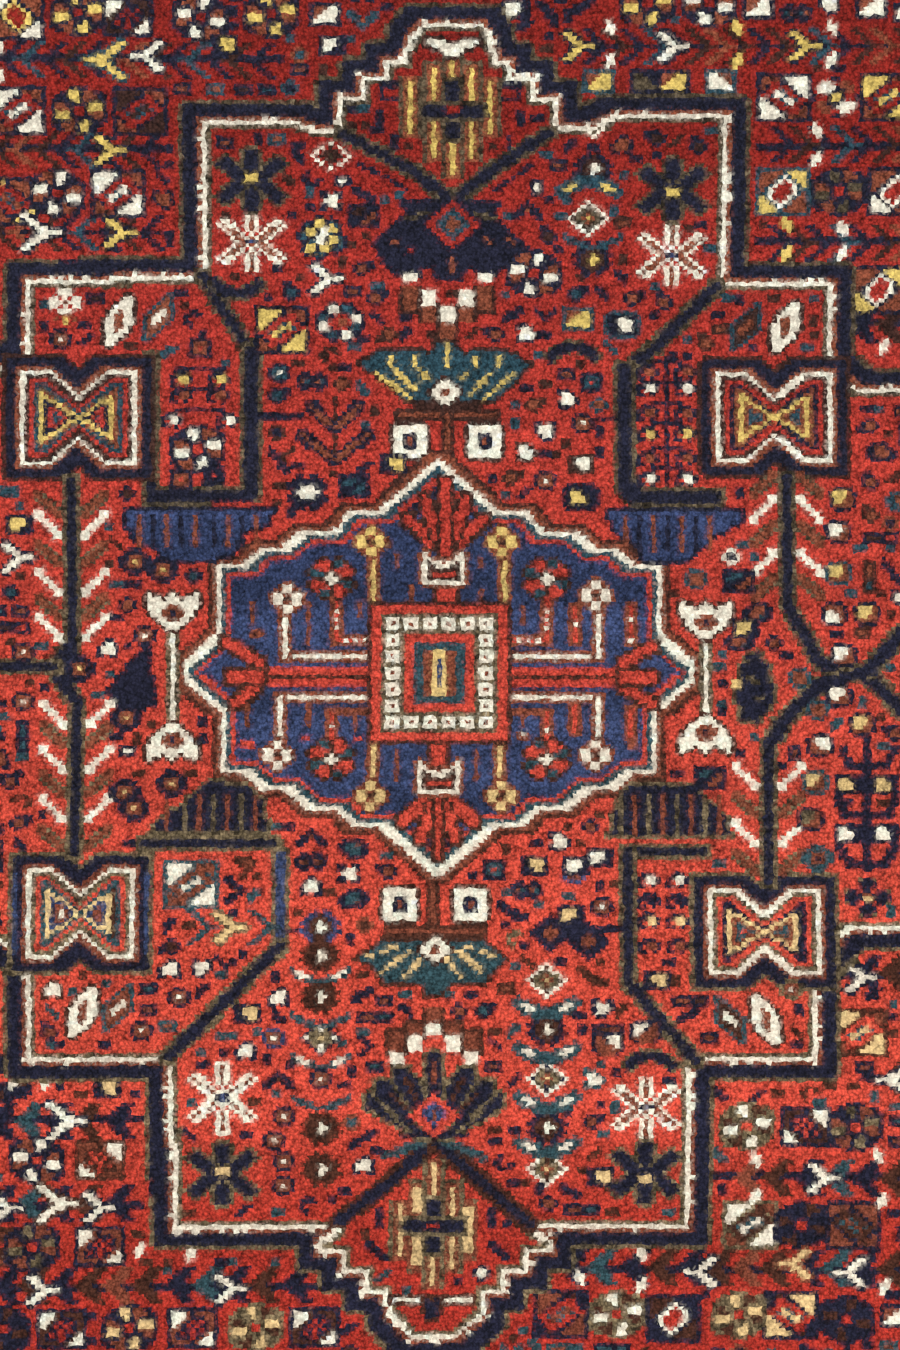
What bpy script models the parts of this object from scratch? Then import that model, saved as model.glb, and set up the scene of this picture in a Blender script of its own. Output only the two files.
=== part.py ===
"""A small hand-knotted tribal rug, lying flat.

It is one knotted body with a plain-woven strip at each end, an overcast selvedge cord down each
long side, and a comb of knotted warp tassels at each short end. Metres, +Z up. The origin is on the
floor under the middle of the rug, +Y runs along the warps to the head end, and +X is to the right.
"""

import math

import bmesh
import bpy

# The weave sets the size of the pile.
KNOT_ACROSS = 0.0030
KNOT_ALONG = 0.00263
KNOTS_ACROSS = 208
KNOT_ROWS = 346
PILE_WIDTH = KNOTS_ACROSS * KNOT_ACROSS
PILE_LENGTH = KNOT_ROWS * KNOT_ALONG

# Heights above the floor.
FOUNDATION_THICK = 0.0022
PILE_TOP = 0.0080
PILE_RIM_ROUND = 0.0016

# The plain-woven strip past the last row of knots, at each end.
PLAIN_END = 0.0100

# The overcast cord down each side.
SELVEDGE_RADIUS = 0.0034
SELVEDGE_SIDES = 12

# The warp tassels.
TASSELS = 52
TASSEL_LENGTH = 0.0290
TASSEL_LENGTH_SPREAD = 0.0025
TASSEL_LEAN = 0.0016
FRINGE_HEADER = 0.0020
FRINGE_THICK = 0.0022

# Touching pieces keep this gap.
GAP = 0.0003

# Stations that carry the outline's unevenness: along the rug, and across it.
STATIONS_ALONG = 44
STATIONS_ACROSS = 8

# How a hand-woven outline wanders, as sums of sine waves: the long sides along Y, the ends along X.
SIDE_WAVES = {
    "left": [
        {"swing": 0.0014, "wavelength": 0.83, "phase": 0.6},
        {"swing": 0.0007, "wavelength": 0.29, "phase": 2.1},
    ],
    "right": [
        {"swing": 0.0012, "wavelength": 0.71, "phase": 3.4},
        {"swing": 0.0008, "wavelength": 0.33, "phase": 0.4},
    ],
}
END_WAVES = {
    "foot": [{"swing": 0.0013, "wavelength": 0.92, "phase": 1.2}],
    "head": [{"swing": 0.0016, "wavelength": 1.10, "phase": 4.0}],
}

# Plain colours for each wool, as linear red, green and blue.
WOOL_COLOURS = {
    "madder_red": (0.38, 0.045, 0.03),
    "dark_brown": (0.035, 0.018, 0.012),
    "undyed_ivory": (0.68, 0.60, 0.46),
}


def clear_scene():
    for thing in list(bpy.data.objects):
        bpy.data.objects.remove(thing)


def wool(name):
    """A matt wool material in one of the named colours."""
    material = bpy.data.materials.new(name)
    material.use_nodes = True
    shader = material.node_tree.nodes["Principled BSDF"]
    shader.inputs["Base Color"].default_value = (*WOOL_COLOURS[name], 1.0)
    shader.inputs["Roughness"].default_value = 0.9
    shader.inputs["Metallic"].default_value = 0.0
    return material


def waves(table, place):
    """The sum of a table's sine waves at this place along the edge."""
    return sum(w["swing"] * math.sin(math.tau * place / w["wavelength"] + w["phase"]) for w in table)


def spaced(first, last, steps):
    """steps + 1 even places from first to last."""
    return [first + (last - first) * i / steps for i in range(steps + 1)]


def side_x(side, y):
    """Where a long edge of the knotted body lies at this Y."""
    out = 1 if side == "right" else -1
    return out * PILE_WIDTH / 2 + waves(SIDE_WAVES[side], y)


def row_shift(x, y):
    """How far the row of knots at this Y is pulled along the rug at this X. It blends the two ends' waves."""
    towards_head = y / (PILE_LENGTH + 2 * PLAIN_END) + 0.5
    foot = waves(END_WAVES["foot"], x)
    head = waves(END_WAVES["head"], x)
    return foot + (head - foot) * towards_head


def on_rug(across, y):
    """The X and Y of a place on the body: across runs from 0 at the left edge to 1 at the right edge."""
    x = side_x("left", y) + (side_x("right", y) - side_x("left", y)) * across
    return x, y + row_shift(x, y)


def new_object(name, mesh, material):
    thing = bpy.data.objects.new(name, mesh)
    thing.data.materials.append(material)
    bpy.context.scene.collection.objects.link(thing)
    return thing


def mesh_from(shape, name):
    """A mesh from a bmesh, its faces pointing out."""
    bmesh.ops.recalc_face_normals(shape, faces=shape.faces)
    mesh = bpy.data.meshes.new(name)
    shape.to_mesh(mesh)
    shape.free()
    return mesh


def extruded(shape, faces, height):
    """Extrudes these faces straight up and returns the new top faces."""
    made = bmesh.ops.extrude_face_region(shape, geom=faces)["geom"]
    points = [item for item in made if isinstance(item, bmesh.types.BMVert)]
    bmesh.ops.translate(shape, verts=points, vec=(0, 0, height))
    return [item for item in made if isinstance(item, bmesh.types.BMFace)]


def make_body():
    """The knotted body: a thin foundation over the whole length, with the pile standing on all but its ends."""
    half_pile = PILE_LENGTH / 2
    end = half_pile + PLAIN_END
    rows = [-end, *spaced(-half_pile, half_pile, STATIONS_ALONG), end]
    columns = spaced(0.0, 1.0, STATIONS_ACROSS)
    shape = bmesh.new()
    points = [[shape.verts.new((*on_rug(across, y), 0.0)) for across in columns] for y in rows]
    floor_faces = []
    for near, far in zip(points, points[1:]):
        for i in range(STATIONS_ACROSS):
            floor_faces.append(shape.faces.new((near[i], near[i + 1], far[i + 1], far[i])))
    foundation_top = extruded(shape, floor_faces, FOUNDATION_THICK)
    knotted = [face for face in foundation_top if abs(face.calc_center_median().y) < half_pile - KNOT_ALONG]
    pile_top = extruded(shape, knotted, PILE_TOP - FOUNDATION_THICK)
    bmesh.ops.delete(shape, geom=knotted, context="FACES_ONLY")
    top = set(pile_top)
    rim = {edge for face in pile_top for edge in face.edges if len(top.intersection(edge.link_faces)) == 1}
    bmesh.ops.bevel(shape, geom=list(rim), offset=PILE_RIM_ROUND, segments=2, profile=0.5, affect="EDGES")
    return new_object("rug", mesh_from(shape, "rug"), wool("madder_red"))


def make_selvedge(side):
    """The overcast cord down one long side, following that edge."""
    out = 1 if side == "right" else -1
    line = bpy.data.curves.new("selvedge_" + side, "CURVE")
    line.dimensions = "3D"
    line.bevel_depth = SELVEDGE_RADIUS
    line.bevel_resolution = SELVEDGE_SIDES // 4 - 1
    line.use_fill_caps = True
    spline = line.splines.new("POLY")
    places = spaced(-PILE_LENGTH / 2, PILE_LENGTH / 2, STATIONS_ALONG)
    spline.points.add(len(places) - 1)
    for point, y in zip(spline.points, places):
        edge_x = side_x(side, y)
        x = edge_x + out * (GAP + SELVEDGE_RADIUS)
        point.co = (x, y + row_shift(edge_x, y), SELVEDGE_RADIUS, 1.0)
    return new_object("selvedge_" + side, line, wool("dark_brown"))


def tassel_outline(i):
    """One tassel's outline, as (across the rug in tassel pitches, out from the header) from its left root to its right."""
    length = TASSEL_LENGTH + TASSEL_LENGTH_SPREAD * math.sin(2.3 * i + 0.7)
    lean = TASSEL_LEAN * math.sin(1.7 * i) * TASSELS / PILE_WIDTH
    half_widths = [
        {"out": 0.0020, "half": 0.26},
        {"out": 0.0060, "half": 0.26},
        {"out": 0.0075, "half": 0.19},
        {"out": length, "half": 0.23},
    ]
    side = [(w["half"], w["out"]) for w in half_widths]
    left = [(0.5 - half + lean * out / length, out) for half, out in side]
    right = [(0.5 + half + lean * out / length, out) for half, out in reversed(side)]
    return [(i + across, out) for across, out in left + right]


def make_fringe(end):
    """The comb of warp tassels at one end: a header against the plain-woven edge, and the tassels out from it."""
    out_way = 1 if end == "head" else -1
    edge_y = out_way * (PILE_LENGTH / 2 + PLAIN_END)

    def place(across, out):
        x, y = on_rug(across, edge_y)
        return x, y + out_way * (GAP + out)

    inner = [place(across, 0.0) for across in spaced(1.0, 0.0, STATIONS_ACROSS)]
    outer = [place(0.0, FRINGE_HEADER)]
    for i in range(TASSELS):
        outer += [place(pitches / TASSELS, FRINGE_HEADER + out) for pitches, out in tassel_outline(i)]
    outer.append(place(1.0, FRINGE_HEADER))
    shape = bmesh.new()
    face = shape.faces.new([shape.verts.new((x, y, 0.0)) for x, y in inner + outer])
    extruded(shape, [face], FRINGE_THICK)
    return new_object("fringe_" + end, mesh_from(shape, "fringe_" + end), wool("undyed_ivory"))


clear_scene()
make_body()
for side_name in SIDE_WAVES:
    make_selvedge(side_name)
for end_name in END_WAVES:
    make_fringe(end_name)
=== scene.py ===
# %% [markdown]
# # A small hand-knotted rug
# The rug is one sheet of wool: tufts knotted row by row on undyed warps, a woven ground under them, an
# overcast cord down each side, and the ends of the warps tied into tassels. The pattern is a chart with
# one square a knot, as weavers read it. So this lesson draws the chart first, and then builds a rug in
# which every square of the chart is one small facet of real pile.

import bpy
import numpy as np
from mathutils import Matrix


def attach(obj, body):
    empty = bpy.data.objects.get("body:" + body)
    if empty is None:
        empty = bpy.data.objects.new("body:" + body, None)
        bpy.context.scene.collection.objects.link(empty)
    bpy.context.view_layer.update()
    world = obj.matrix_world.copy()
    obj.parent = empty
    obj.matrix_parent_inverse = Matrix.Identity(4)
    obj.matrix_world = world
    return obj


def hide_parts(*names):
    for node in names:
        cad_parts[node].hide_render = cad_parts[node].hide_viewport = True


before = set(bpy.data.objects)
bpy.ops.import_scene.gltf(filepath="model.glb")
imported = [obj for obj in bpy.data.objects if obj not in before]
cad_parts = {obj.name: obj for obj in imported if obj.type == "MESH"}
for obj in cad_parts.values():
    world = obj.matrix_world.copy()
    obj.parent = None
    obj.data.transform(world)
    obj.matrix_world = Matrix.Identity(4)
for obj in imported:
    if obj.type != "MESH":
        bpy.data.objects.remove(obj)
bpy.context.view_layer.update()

# %% [markdown]
# ## Camera, light and floor
# The rug is looked at from straight above, so the camera hangs over its middle with a long lens, and
# the borders fall outside the view. Soft light from the head end rakes over the pile, because light
# from straight above would flatten it. The floor is plain and grey, a hair below the rug.

# %% The camera above the rug
KNOT_ACROSS = 0.0030
KNOT_ALONG = 0.00263
VIEW_LENGTH = 328.5 * KNOT_ALONG  # how much of the rug's length the view holds
CAMERA_RISE = 1.6
SENSOR_WIDTH = 36
PILE_TOP = 0.0080

bpy.ops.object.select_all(action="DESELECT")
bpy.ops.object.camera_add(location=(0, 0, PILE_TOP + CAMERA_RISE), rotation=(0, 0, 0))
camera = bpy.context.object
camera.name = "camera"
camera.data.sensor_width = SENSOR_WIDTH
camera.data.lens = SENSOR_WIDTH * CAMERA_RISE / VIEW_LENGTH
camera.data.clip_start = 0.01
bpy.context.scene.camera = camera
print("lens in mm:", round(camera.data.lens, 1))

# %% Soft light and a grey floor
def soft_light(name, place, turn, size, power):
    bpy.ops.object.light_add(type="AREA", location=place, rotation=turn)
    lamp = bpy.context.object
    lamp.name = name
    lamp.data.size = size
    lamp.data.energy = power


soft_light("head_light", (-0.7, 1.5, 1.5), (-0.78, -0.35, 0), 1.2, 28)
soft_light("foot_light", (0.8, -1.3, 1.7), (0.68, 0.42, 0), 1.4, 34)

SKY_COLOUR = (0.95, 0.97, 1.0, 1)
SKY_STRENGTH = 0.54
scene = bpy.context.scene
scene.view_settings.view_transform = "Standard"
scene.world = bpy.data.worlds.new("studio")
scene.world.use_nodes = True
sky = scene.world.node_tree.nodes["Background"].inputs
sky["Color"].default_value = SKY_COLOUR
sky["Strength"].default_value = SKY_STRENGTH

FLOOR_DROP = 0.0004
FLOOR_SIZE = 120
bpy.ops.mesh.primitive_plane_add(size=FLOOR_SIZE, location=(0, 0, -FLOOR_DROP))
floor = bpy.context.object
floor.name = "studio_floor"
bpy.ops.object.transform_apply(location=True, rotation=True, scale=True)

# %% [markdown]
# ## A short way to write materials
# A material is a net of nodes. Typing the nodes one by one hides the sums in them, so a small class wraps
# a socket and lets the sums be written as sums. Any other node comes from one method, node().

# %% A socket that can be added and multiplied
class Wire:
    """A socket of a material's node, with sums on it."""

    def __init__(self, tree, socket):
        self.tree = tree
        self.socket = socket

    def node(self, kind, settings=None, **inputs):
        made = self.tree.nodes.new("ShaderNode" + kind)
        for name, value in (settings or {}).items():
            setattr(made, name, value)
        for name, value in inputs.items():
            key = int(name[1:]) if name[0] == "i" and name[1:].isdigit() else name.replace("_", " ")
            target = made.inputs[key]
            if isinstance(value, Wire):
                self.tree.links.new(value.socket, target)
            else:
                target.default_value = value
        return made

    def out(self, made, name=0):
        return Wire(self.tree, made.outputs[name])

    def sum(self, operation, a, b=0.0, c=0.0):
        return self.out(self.node("Math", {"operation": operation}, i0=a, i1=b, i2=c))

    def __add__(self, other):
        return self.sum("ADD", self, other)

    def __radd__(self, other):
        return self.sum("ADD", other, self)

    def __sub__(self, other):
        return self.sum("SUBTRACT", self, other)

    def __rsub__(self, other):
        return self.sum("SUBTRACT", other, self)

    def __mul__(self, other):
        return self.sum("MULTIPLY", self, other)

    def __rmul__(self, other):
        return self.sum("MULTIPLY", other, self)

    def mixed(self, a, b, blend="MIX"):
        """Colour a turning into colour b as this mask goes from 0 to 1."""
        made = self.node("Mix", {"data_type": "RGBA", "blend_type": blend}, i0=self, i6=a, i7=b)
        return self.out(made, 2)

    def smooth(self, low, high, start=0.0, end=1.0):
        """start below low, end above high, and a smooth step between."""
        settings = {"interpolation_type": "SMOOTHSTEP"}
        return self.out(self.node("MapRange", settings, i0=self, i1=low, i2=high, i3=start, i4=end))


def new_material(name, roughness):
    """A material, its shader, and a wire to start from."""
    material = bpy.data.materials.new(name)
    material.use_nodes = True
    tree = material.node_tree
    shader = tree.nodes["Principled BSDF"]
    shader.inputs["Roughness"].default_value = roughness
    return material, shader, Wire(tree, None)


def noise(wire, vector, scale, detail=2.0, rough=0.5):
    made = wire.node("TexNoise", None, Vector=vector, Scale=scale, Detail=detail, Roughness=rough)
    return wire.out(made, "Fac")


def relief(wire, shader, height, distance, strength=1.0):
    bump = wire.node("Bump", None, Strength=strength, Distance=distance, Height=height)
    wire.tree.links.new(bump.outputs[0], shader.inputs["Normal"])


def coat(wire, shader, colour, shade):
    """Gives the shader this colour, darker or lighter as shade says at each place."""
    grey = wire.out(wire.node("CombineColor", None, Red=shade, Green=shade, Blue=shade))
    settings = {"data_type": "RGBA", "blend_type": "MULTIPLY"}
    mixed = wire.node("Mix", settings, i0=1.0, i6=colour, i7=grey)
    wire.tree.links.new(mixed.outputs[2], shader.inputs["Base Color"])


def linear(red, green, blue):
    """A colour given as 0 to 255 on a screen, as the light it stands for."""
    share = np.array([red, green, blue]) / 255
    return tuple(np.where(share <= 0.04045, share / 12.92, ((share + 0.055) / 1.055) ** 2.4).tolist())

# %% The floor's plain finish
floor_paint, shader, wire = new_material("studio_floor", 0.75)
spot = wire.out(wire.node("TexCoord"), "Object")
cloud = noise(wire, spot, 1.5)
tint = cloud.mixed((*linear(128, 126, 122), 1), (*linear(136, 134, 130), 1))
wire.tree.links.new(tint.socket, shader.inputs["Base Color"])
floor.data.materials.append(floor_paint)
print("floor at", -1000 * FLOOR_DROP, "mm")

# %% [markdown]
# ## The chart
# A hand-knotted pattern is a chart: one square is one knot, and a letter names its yarn. It could be
# painted as an image and wrapped on the rug, but the colours would then blur from knot to knot, and no
# figure could be moved or resized by itself. So the chart is an array with one entry a knot, and small
# tools draw on it as a weaver counts: so many knots across and along from the middle of the rug.
#
# The yarns are r red, n navy, b blue, i ivory, o olive, t teal, g gold, u rust and k dark brown.

# %% An empty red chart
KNOTS_ACROSS = 208
KNOT_ROWS = 346
YARNS = "rnbiotguk"
LEAVE = "."  # a knot that a motif leaves as it is
EDGE_YARN = 0.8  # how far a line's darker edge reaches past it, in knots

chart = np.full((KNOT_ROWS, KNOTS_ACROSS), YARNS.index("r"))
AT_ACROSS = np.arange(KNOTS_ACROSS) + 0.5 - KNOTS_ACROSS / 2
AT_ALONG = np.arange(KNOT_ROWS)[:, None] + 0.5 - KNOT_ROWS / 2
print("chart:", KNOTS_ACROSS, "knots across,", KNOT_ROWS, "rows")

# %% Reading tables and finding knots
def table(text):
    """A text table's rows as dictionaries. Its first line names the columns; | or ; runs a line on."""
    for mark in "|;":
        text = mark.join(part.strip() for part in text.split(mark))
    columns, *rows = [line.split() for line in text.strip().splitlines()]
    return [dict(zip(columns, row)) for row in rows]


def path_of(text):
    """'-5,2|3,4' as a list of places in knots."""
    return [tuple(float(part) for part in point.split(",")) for point in text.split("|")]


def area(points):
    """The knots whose middles lie inside a closed outline."""
    inside = np.zeros(chart.shape, bool)
    for (c0, r0), (c1, r1) in zip(points, points[1:] + points[:1]):
        if r0 != r1:
            crossing = c0 + (AT_ALONG - r0) * (c1 - c0) / (r1 - r0)
            inside ^= ((AT_ALONG > min(r0, r1)) & (AT_ALONG <= max(r0, r1))) & (AT_ACROSS < crossing)
    return inside


def near(points, reach):
    """The knots whose middles lie closer than this to a line."""
    found = np.zeros(chart.shape, bool)
    for (c0, r0), (c1, r1) in zip(points, points[1:]):
        run, rise = c1 - c0, r1 - r0
        if run == rise == 0:
            continue
        along = ((AT_ACROSS - c0) * run + (AT_ALONG - r0) * rise) / (run * run + rise * rise)
        along = np.clip(along, 0, 1)
        across_gap = np.abs(AT_ACROSS - c0 - along * run)
        along_gap = np.abs(AT_ALONG - r0 - along * rise)
        found |= across_gap ** 4 + along_gap ** 4 < reach ** 4
    return found

# %% [markdown]
# ## Tying knots
# A line is every knot near a path, with a darker knot or two along its sides, because weavers outline
# almost everything. A patch is a closed outline filled in rings. A motif is a small chart of its own.

# %% Lines, patches, beads and motifs
def tie(knots, yarn):
    """Gives these knots this yarn."""
    chart[knots] = YARNS.index(yarn)


def shrunk(knots):
    """The same area with its outermost ring of knots taken off."""
    inner = knots.copy()
    inner[1:] &= knots[:-1]
    inner[:-1] &= knots[1:]
    inner[:, 1:] &= knots[:, :-1]
    inner[:, :-1] &= knots[:, 1:]
    return inner


def banded(knots, yarns):
    """Rings of yarn from the edge inwards, one knot each; the last yarn fills what is left."""
    for yarn in yarns[:-1]:
        if yarn != LEAVE:
            tie(knots, yarn)
        knots = shrunk(knots)
    if yarns[-1] != LEAVE:
        tie(knots, yarns[-1])


def patches(text):
    """Fills closed outlines, in rings of the yarns named."""
    for patch in table(text):
        banded(area(path_of(patch["outline"])), patch["yarns"])


def lines(text):
    """Ties lines as wide as their pen, over a slightly wider line of their edge yarn."""
    for line in table(text):
        half = float(line["pen"]) / 2
        for points in map(path_of, line["paths"].split(";")):
            if line["edge"] != "-":
                tie(near(points, half + EDGE_YARN), line["edge"])
            tie(near(points, half), line["yarn"])


def block(c, r, wide, tall):
    """A box of knots with its middle here."""
    return (np.abs(AT_ACROSS - c) < wide / 2) & (np.abs(AT_ALONG - r) < tall / 2)


def beads(text):
    """Rows of single ivory knots along a path, one every few knots."""
    for row in table(text):
        (c0, r0), (c1, r1) = path_of(row["path"])
        count = int(row["count"])
        for number in range(count):
            share = number / max(count - 1, 1)
            tie(block(c0 + (c1 - c0) * share, r0 + (r1 - r0) * share, 1, 1), "i")


def stamped(rows, c, r, turn="-", swap="-", edge="-"):
    """Ties a small motif with its middle here, flipped by h or v, turned by q, yarns swapped as 'ni>kg'."""
    grid = rows
    if swap != "-":
        old, new = swap.split(">")
        grid = [row.translate(str.maketrans(old, new)) for row in rows]
    if "h" in turn:
        grid = [row[::-1] for row in grid]
    if "v" in turn:
        grid = grid[::-1]
    if "q" in turn:
        grid = list(zip(*grid))
    top = KNOT_ROWS // 2 + round(r + len(grid) / 2) - 1
    left = KNOTS_ACROSS // 2 + round(c - len(grid[0]) / 2)
    places = {}
    for down, row in enumerate(grid):
        for across, yarn in enumerate(row):
            if yarn != LEAVE:
                places[(top - down, left + across)] = yarn
    if edge != "-":
        for down, across in list(places):
            for step in ((1, 0), (-1, 0), (0, 1), (0, -1)):
                places.setdefault((down + step[0], across + step[1]), edge)
    for (down, across), yarn in places.items():
        if 0 <= down < KNOT_ROWS and 0 <= across < KNOTS_ACROSS:
            chart[down, across] = YARNS.index(yarn)


def motifs(text):
    """Stamps the small motifs that a table names, at each of their places."""
    for row in table(text):
        for c, r in path_of(row["places"]):
            stamped(MOTIFS[row["motif"]], c, r, row["turn"], row["swap"], row["edge"])


def tell(what):
    print(what, "- knots that are no longer red:", int((chart != YARNS.index("r")).sum()))


def scatter(text, seed):
    """Small fillings dropped wherever plain red ground is still wide enough for them, the widest first."""
    dice = np.random.default_rng(seed)
    for row in table(text):
        names = row["motifs"].split(",")
        swaps = row["swaps"].split(",")
        spare = float(row["spare"])
        for r in np.arange(-KNOT_ROWS / 2 + 3, KNOT_ROWS / 2 - 3, 1.7):
            for c in np.arange(-KNOTS_ACROSS / 2 + 3, KNOTS_ACROSS / 2 - 3, 2.3):
                rows = MOTIFS[names[dice.integers(len(names))]]
                turn = "-hvq"[dice.integers(4)]
                swap = swaps[dice.integers(len(swaps))]
                tall, wide = (len(rows[0]), len(rows)) if turn == "q" else (len(rows), len(rows[0]))
                ground = chart[block(c, r, wide + spare, tall + spare)]
                if (ground == YARNS.index("r")).all():
                    stamped(rows, c, r, turn, swap)

# %% [markdown]
# ## Small motifs
# The same little figures come back all over the field: pinwheel flowers, boxes cut from corner to
# corner, forked leaves, stars and bells. Each is charted once by hand, as rows of yarn letters, with a
# dot where the ground shows through. Under / the rows come again upwards without the middle one, and
# under // with it. Tables further down say where each one stands, how it is turned, and which yarns are
# swapped, because weavers seldom used the same wools twice running.

# %% The motifs, one small chart each
CHARTS = """
corner_box
nnnnnnnnnnnn
niiiiinukuun
niiiinnrruun
niiinrrrrnun
niinrrtirrnn
ninrrtiitrrn
nrrtiitrrnin
nnrritrrniin
nunrrrrniiin
nuurrnniiiin
nuukuniiiiin
nnnnnnnnnnnn

pinwheel
....nnnn....
..nniinuunn.
.nnniinuuunn
nnnnninunnnn
nuunnnnniiin
nuuunrrniiin
niiinrrnuuun
niiinnnnnuun
nnnnunninnnn
nnuuuniinnn.
.nnuuniinn..
....nnnn....

small_pinwheel
..ii.nn..
..ii.nn..
nn.rrr.ii
nnrruurii
iirruurnn
ii.rrr.nn
..nn.ii..
..nn.ii..

y_leaf
ii.......
.ii......
..ii.....
...iii...
....iiiii
/

chevron
nnn....
.nnn...
.nnnn..
..nnnn.
...nnnn
/

star
......iui......
......iui......
.ii...iui...ii.
iuii..iui..iiui
.iuui.iui.iuui.
..iuui.i.iuui..
...iuuiuiuui...
....iunbnui....
/

lozenge
....ii
...iii
..iiii
.iiuii
.iuuii
iiuuii
iiuuii
iiuui.
iiuii.
iiii..
iii...
ii....

bone_head
i....i....i
iii.iii.iii
iiiiiiiiiii
iiiiuuuiiii
.iiuunuuii.
.iiuunuuii.
..iiuuuii..
...iiiii...
....iii....

square
nnnnn
nuuun
nurun
/

half_box
nnnnnn
niiinn
niiinn
niinnn
nnnnnn

seed
.tttt.
tttttt
ttuutt
.tttt.

hook
nnnnn
n...n
n..nn
n....
nn...

dark_diamond
.....n.....
....nnn....
...nnnnn...
..nnninnn..
.nnniiinnn.
//

cross
.uu.uu.
uuu.uuu
uutttuu
.ttitt.
/

flower
..rr.tt..
.rrr.ttr.
ttrr.rrrr
ttt.i.rrr
...iii...
rrr.i.ttt
rrrr.rrtt
.rtt.rrr.
..tt.rr..

petals
..ii..
..ii..
ii..ii
iikkii
/

m_box
i.......i
ii.....ii
ikii.iiki
ikkiiikki
ikkkkkkki
ikrrrrrki
ikkkkkkki
iiiiiiiii

eye_box
iiiiiii
iiiiiii
iinnnii
iinunii
//

rosette
..ii..
.iiii.
iiuuii
//

big_rosette
....nn....
..ii..uu..
.iiiinuuu.
.iiinnnuu.
n..nggn..n
n..nggn..n
.uunnniii.
.uuuniiii.
..uu..ii..
....nn....

bell
.nnn.
nniin
n.iin
nn.n.

tulip
nn.nn
niiin
niiin
.niin
..nn.

flat_diamond
....i....
..i.k.i..
.i.kkk.i.
i.kkokk.i
/

eye
.nn.
nuun
//

comma
.nn
nnn
nn.
n..

dash
nnn
nnn

nut
.uu.
unnu
//

seed_box
nnnn
nuun
/

bird
nn...
nnnn.
.nnnn
...nn

dot
nn
nn

slant
..n
.nn
nn.
n..

x_star
nn.nn
nniin
.iii.
/

winglet
t...........t
tii.......iit
.tiit...tiit.
...ttttttt...

curl
.nnn.
nn.nn
nn...
.n...

wedge
nnnn.
nnuun
.nuun
..nn.

fork
n...n
nn.nn
.nnn.
..n..

big_half
nnnnnnn
nuuuiin
nuuiiin
nuiiiin
niiiiin
nnnnnnn

blot
..nnnn.
.nnuunn
nnuuunn
nnuutnn
.nnnnn.

split_box
nnnnnnn
nnttnnn
nttnnun
nnnnuun
nnnuunn
nnnnnnn

crescent
nn.....
nnn....
.nnnn..
..nnnnn
...nnnn

bar_leaf
nnnnnnnn
nuuunttn
/

claw
nn...nn
nnn.nnn
.nnunn.
..nnn..
...n...

paw
.nn.nn.
nnnnnnn
nutnutn
/

zig
nnn....
.nnn...
..nnnn.
....nnn
.....nn

leaf_blob
.i
ii
ii
i.

thin_y
ii.....
.ii....
..ii...
...iiii
/

full_diamond
....i....
...iki...
..iokoi..
.ioouooi.
ikouguoki
/

rose
.nnn.
nuuun
nuiun
/

ring_box
nnnnnnnnnnnn
nuuuuunggggn
nuuuuningggn
nuuuniringgn
nuunirrringn
nunirrrrinnn
nnnirrrrinun
ngnirrrinuun
nggnirinuuun
ngggninuuuun
nggggnuuuuun
nnnnnnnnnnnn

arch
....ooooo....
..onnnnnnno..
.onnnnnnnnno.
onnnno.onnnno
onno.....onno
.no.......no.

dark_gem
...n.n...
..nnknn..
.nnkkknn.
nnkkikknn
.nkkiikn.
/

night_box
nnnnnnnnnnn
niiiknkkkkn
niiiknnnkkn
niiknrnrnkn
niknrnrnnkn
nkknnrnrnkn
nknrnrnnkin
nknnnrnkiin
nkkkknkiiin
nnnnnnnnnnn

split_gem
.nnnn.
niiiun
niiiun
niiuun
nuuuun
.nnnn.

quad
...onno...
...nnnn...
...nnnn...
onn.nn.nno
nnnnuunnnn
nnnnggnnnn
onn.nn.nno
...nnnn...
...nnnn...
...onno...

vee
i...i
.i.i.
..i..

posy
...gg.t..
.t.gg.gt.
.gg.iigg.
tgg.iit..
t..ii.ggt
..tii.ggt
.gg.gg..t
.gg.gg.t.
...tt....

tall_star
......iii......
......iui......
......iui......
.ii...iui...ii.
iuii..iui..iiui
.iuii.iui.iiui.
..iiui.i.iuii..
...iiuiiiuii...
....iinbnii....
//

dark_slit
.....tt
....tut
...tuut
..tuuut
.tuuiut
tuuiiut
tuiiuut
tuiuut.
tuuut..
tuut...
tut....
tt.....

fine_chevron
nn.....
.nn....
..nn...
...nn..
....nnn
/

cross_flower
..iii..
..iii..
ii.i.ii
iiiuiii
ii.i.ii
..iii..
..uuu..
.u.g.u.
...g...

dark_half
.nnnnn.
niiinun
niinuun
niuuuun
nuuuuun
.nuuun.
"""
MOTIFS = {}
for small_chart in CHARTS.strip().split("\n\n"):
    name, *rows = small_chart.split()
    if rows[-1] == "/":
        rows[-1:] = rows[-3::-1]
    elif rows[-1] == "//":
        rows[-1:] = rows[-2::-1]
    MOTIFS[name] = rows
print(len(MOTIFS), "motifs")

# %% [markdown]
# ## Outside the panel
# Rows of boxes and pinwheel flowers fill the ground outside the panel, and between them run level stems
# with a dark leaf every few knots. The stems come first, so that the boxes cover their ends. The leaves
# are finer in the head half of the rug than in the foot half.

# %% Stems, boxes and forked leaves
STEM_REACH = 0.8
BARE_STEM = 5
FINE_FROM = 90  # the row from which the leaves are finer
LEAF_YARNS = "nkntnkuk"


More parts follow.
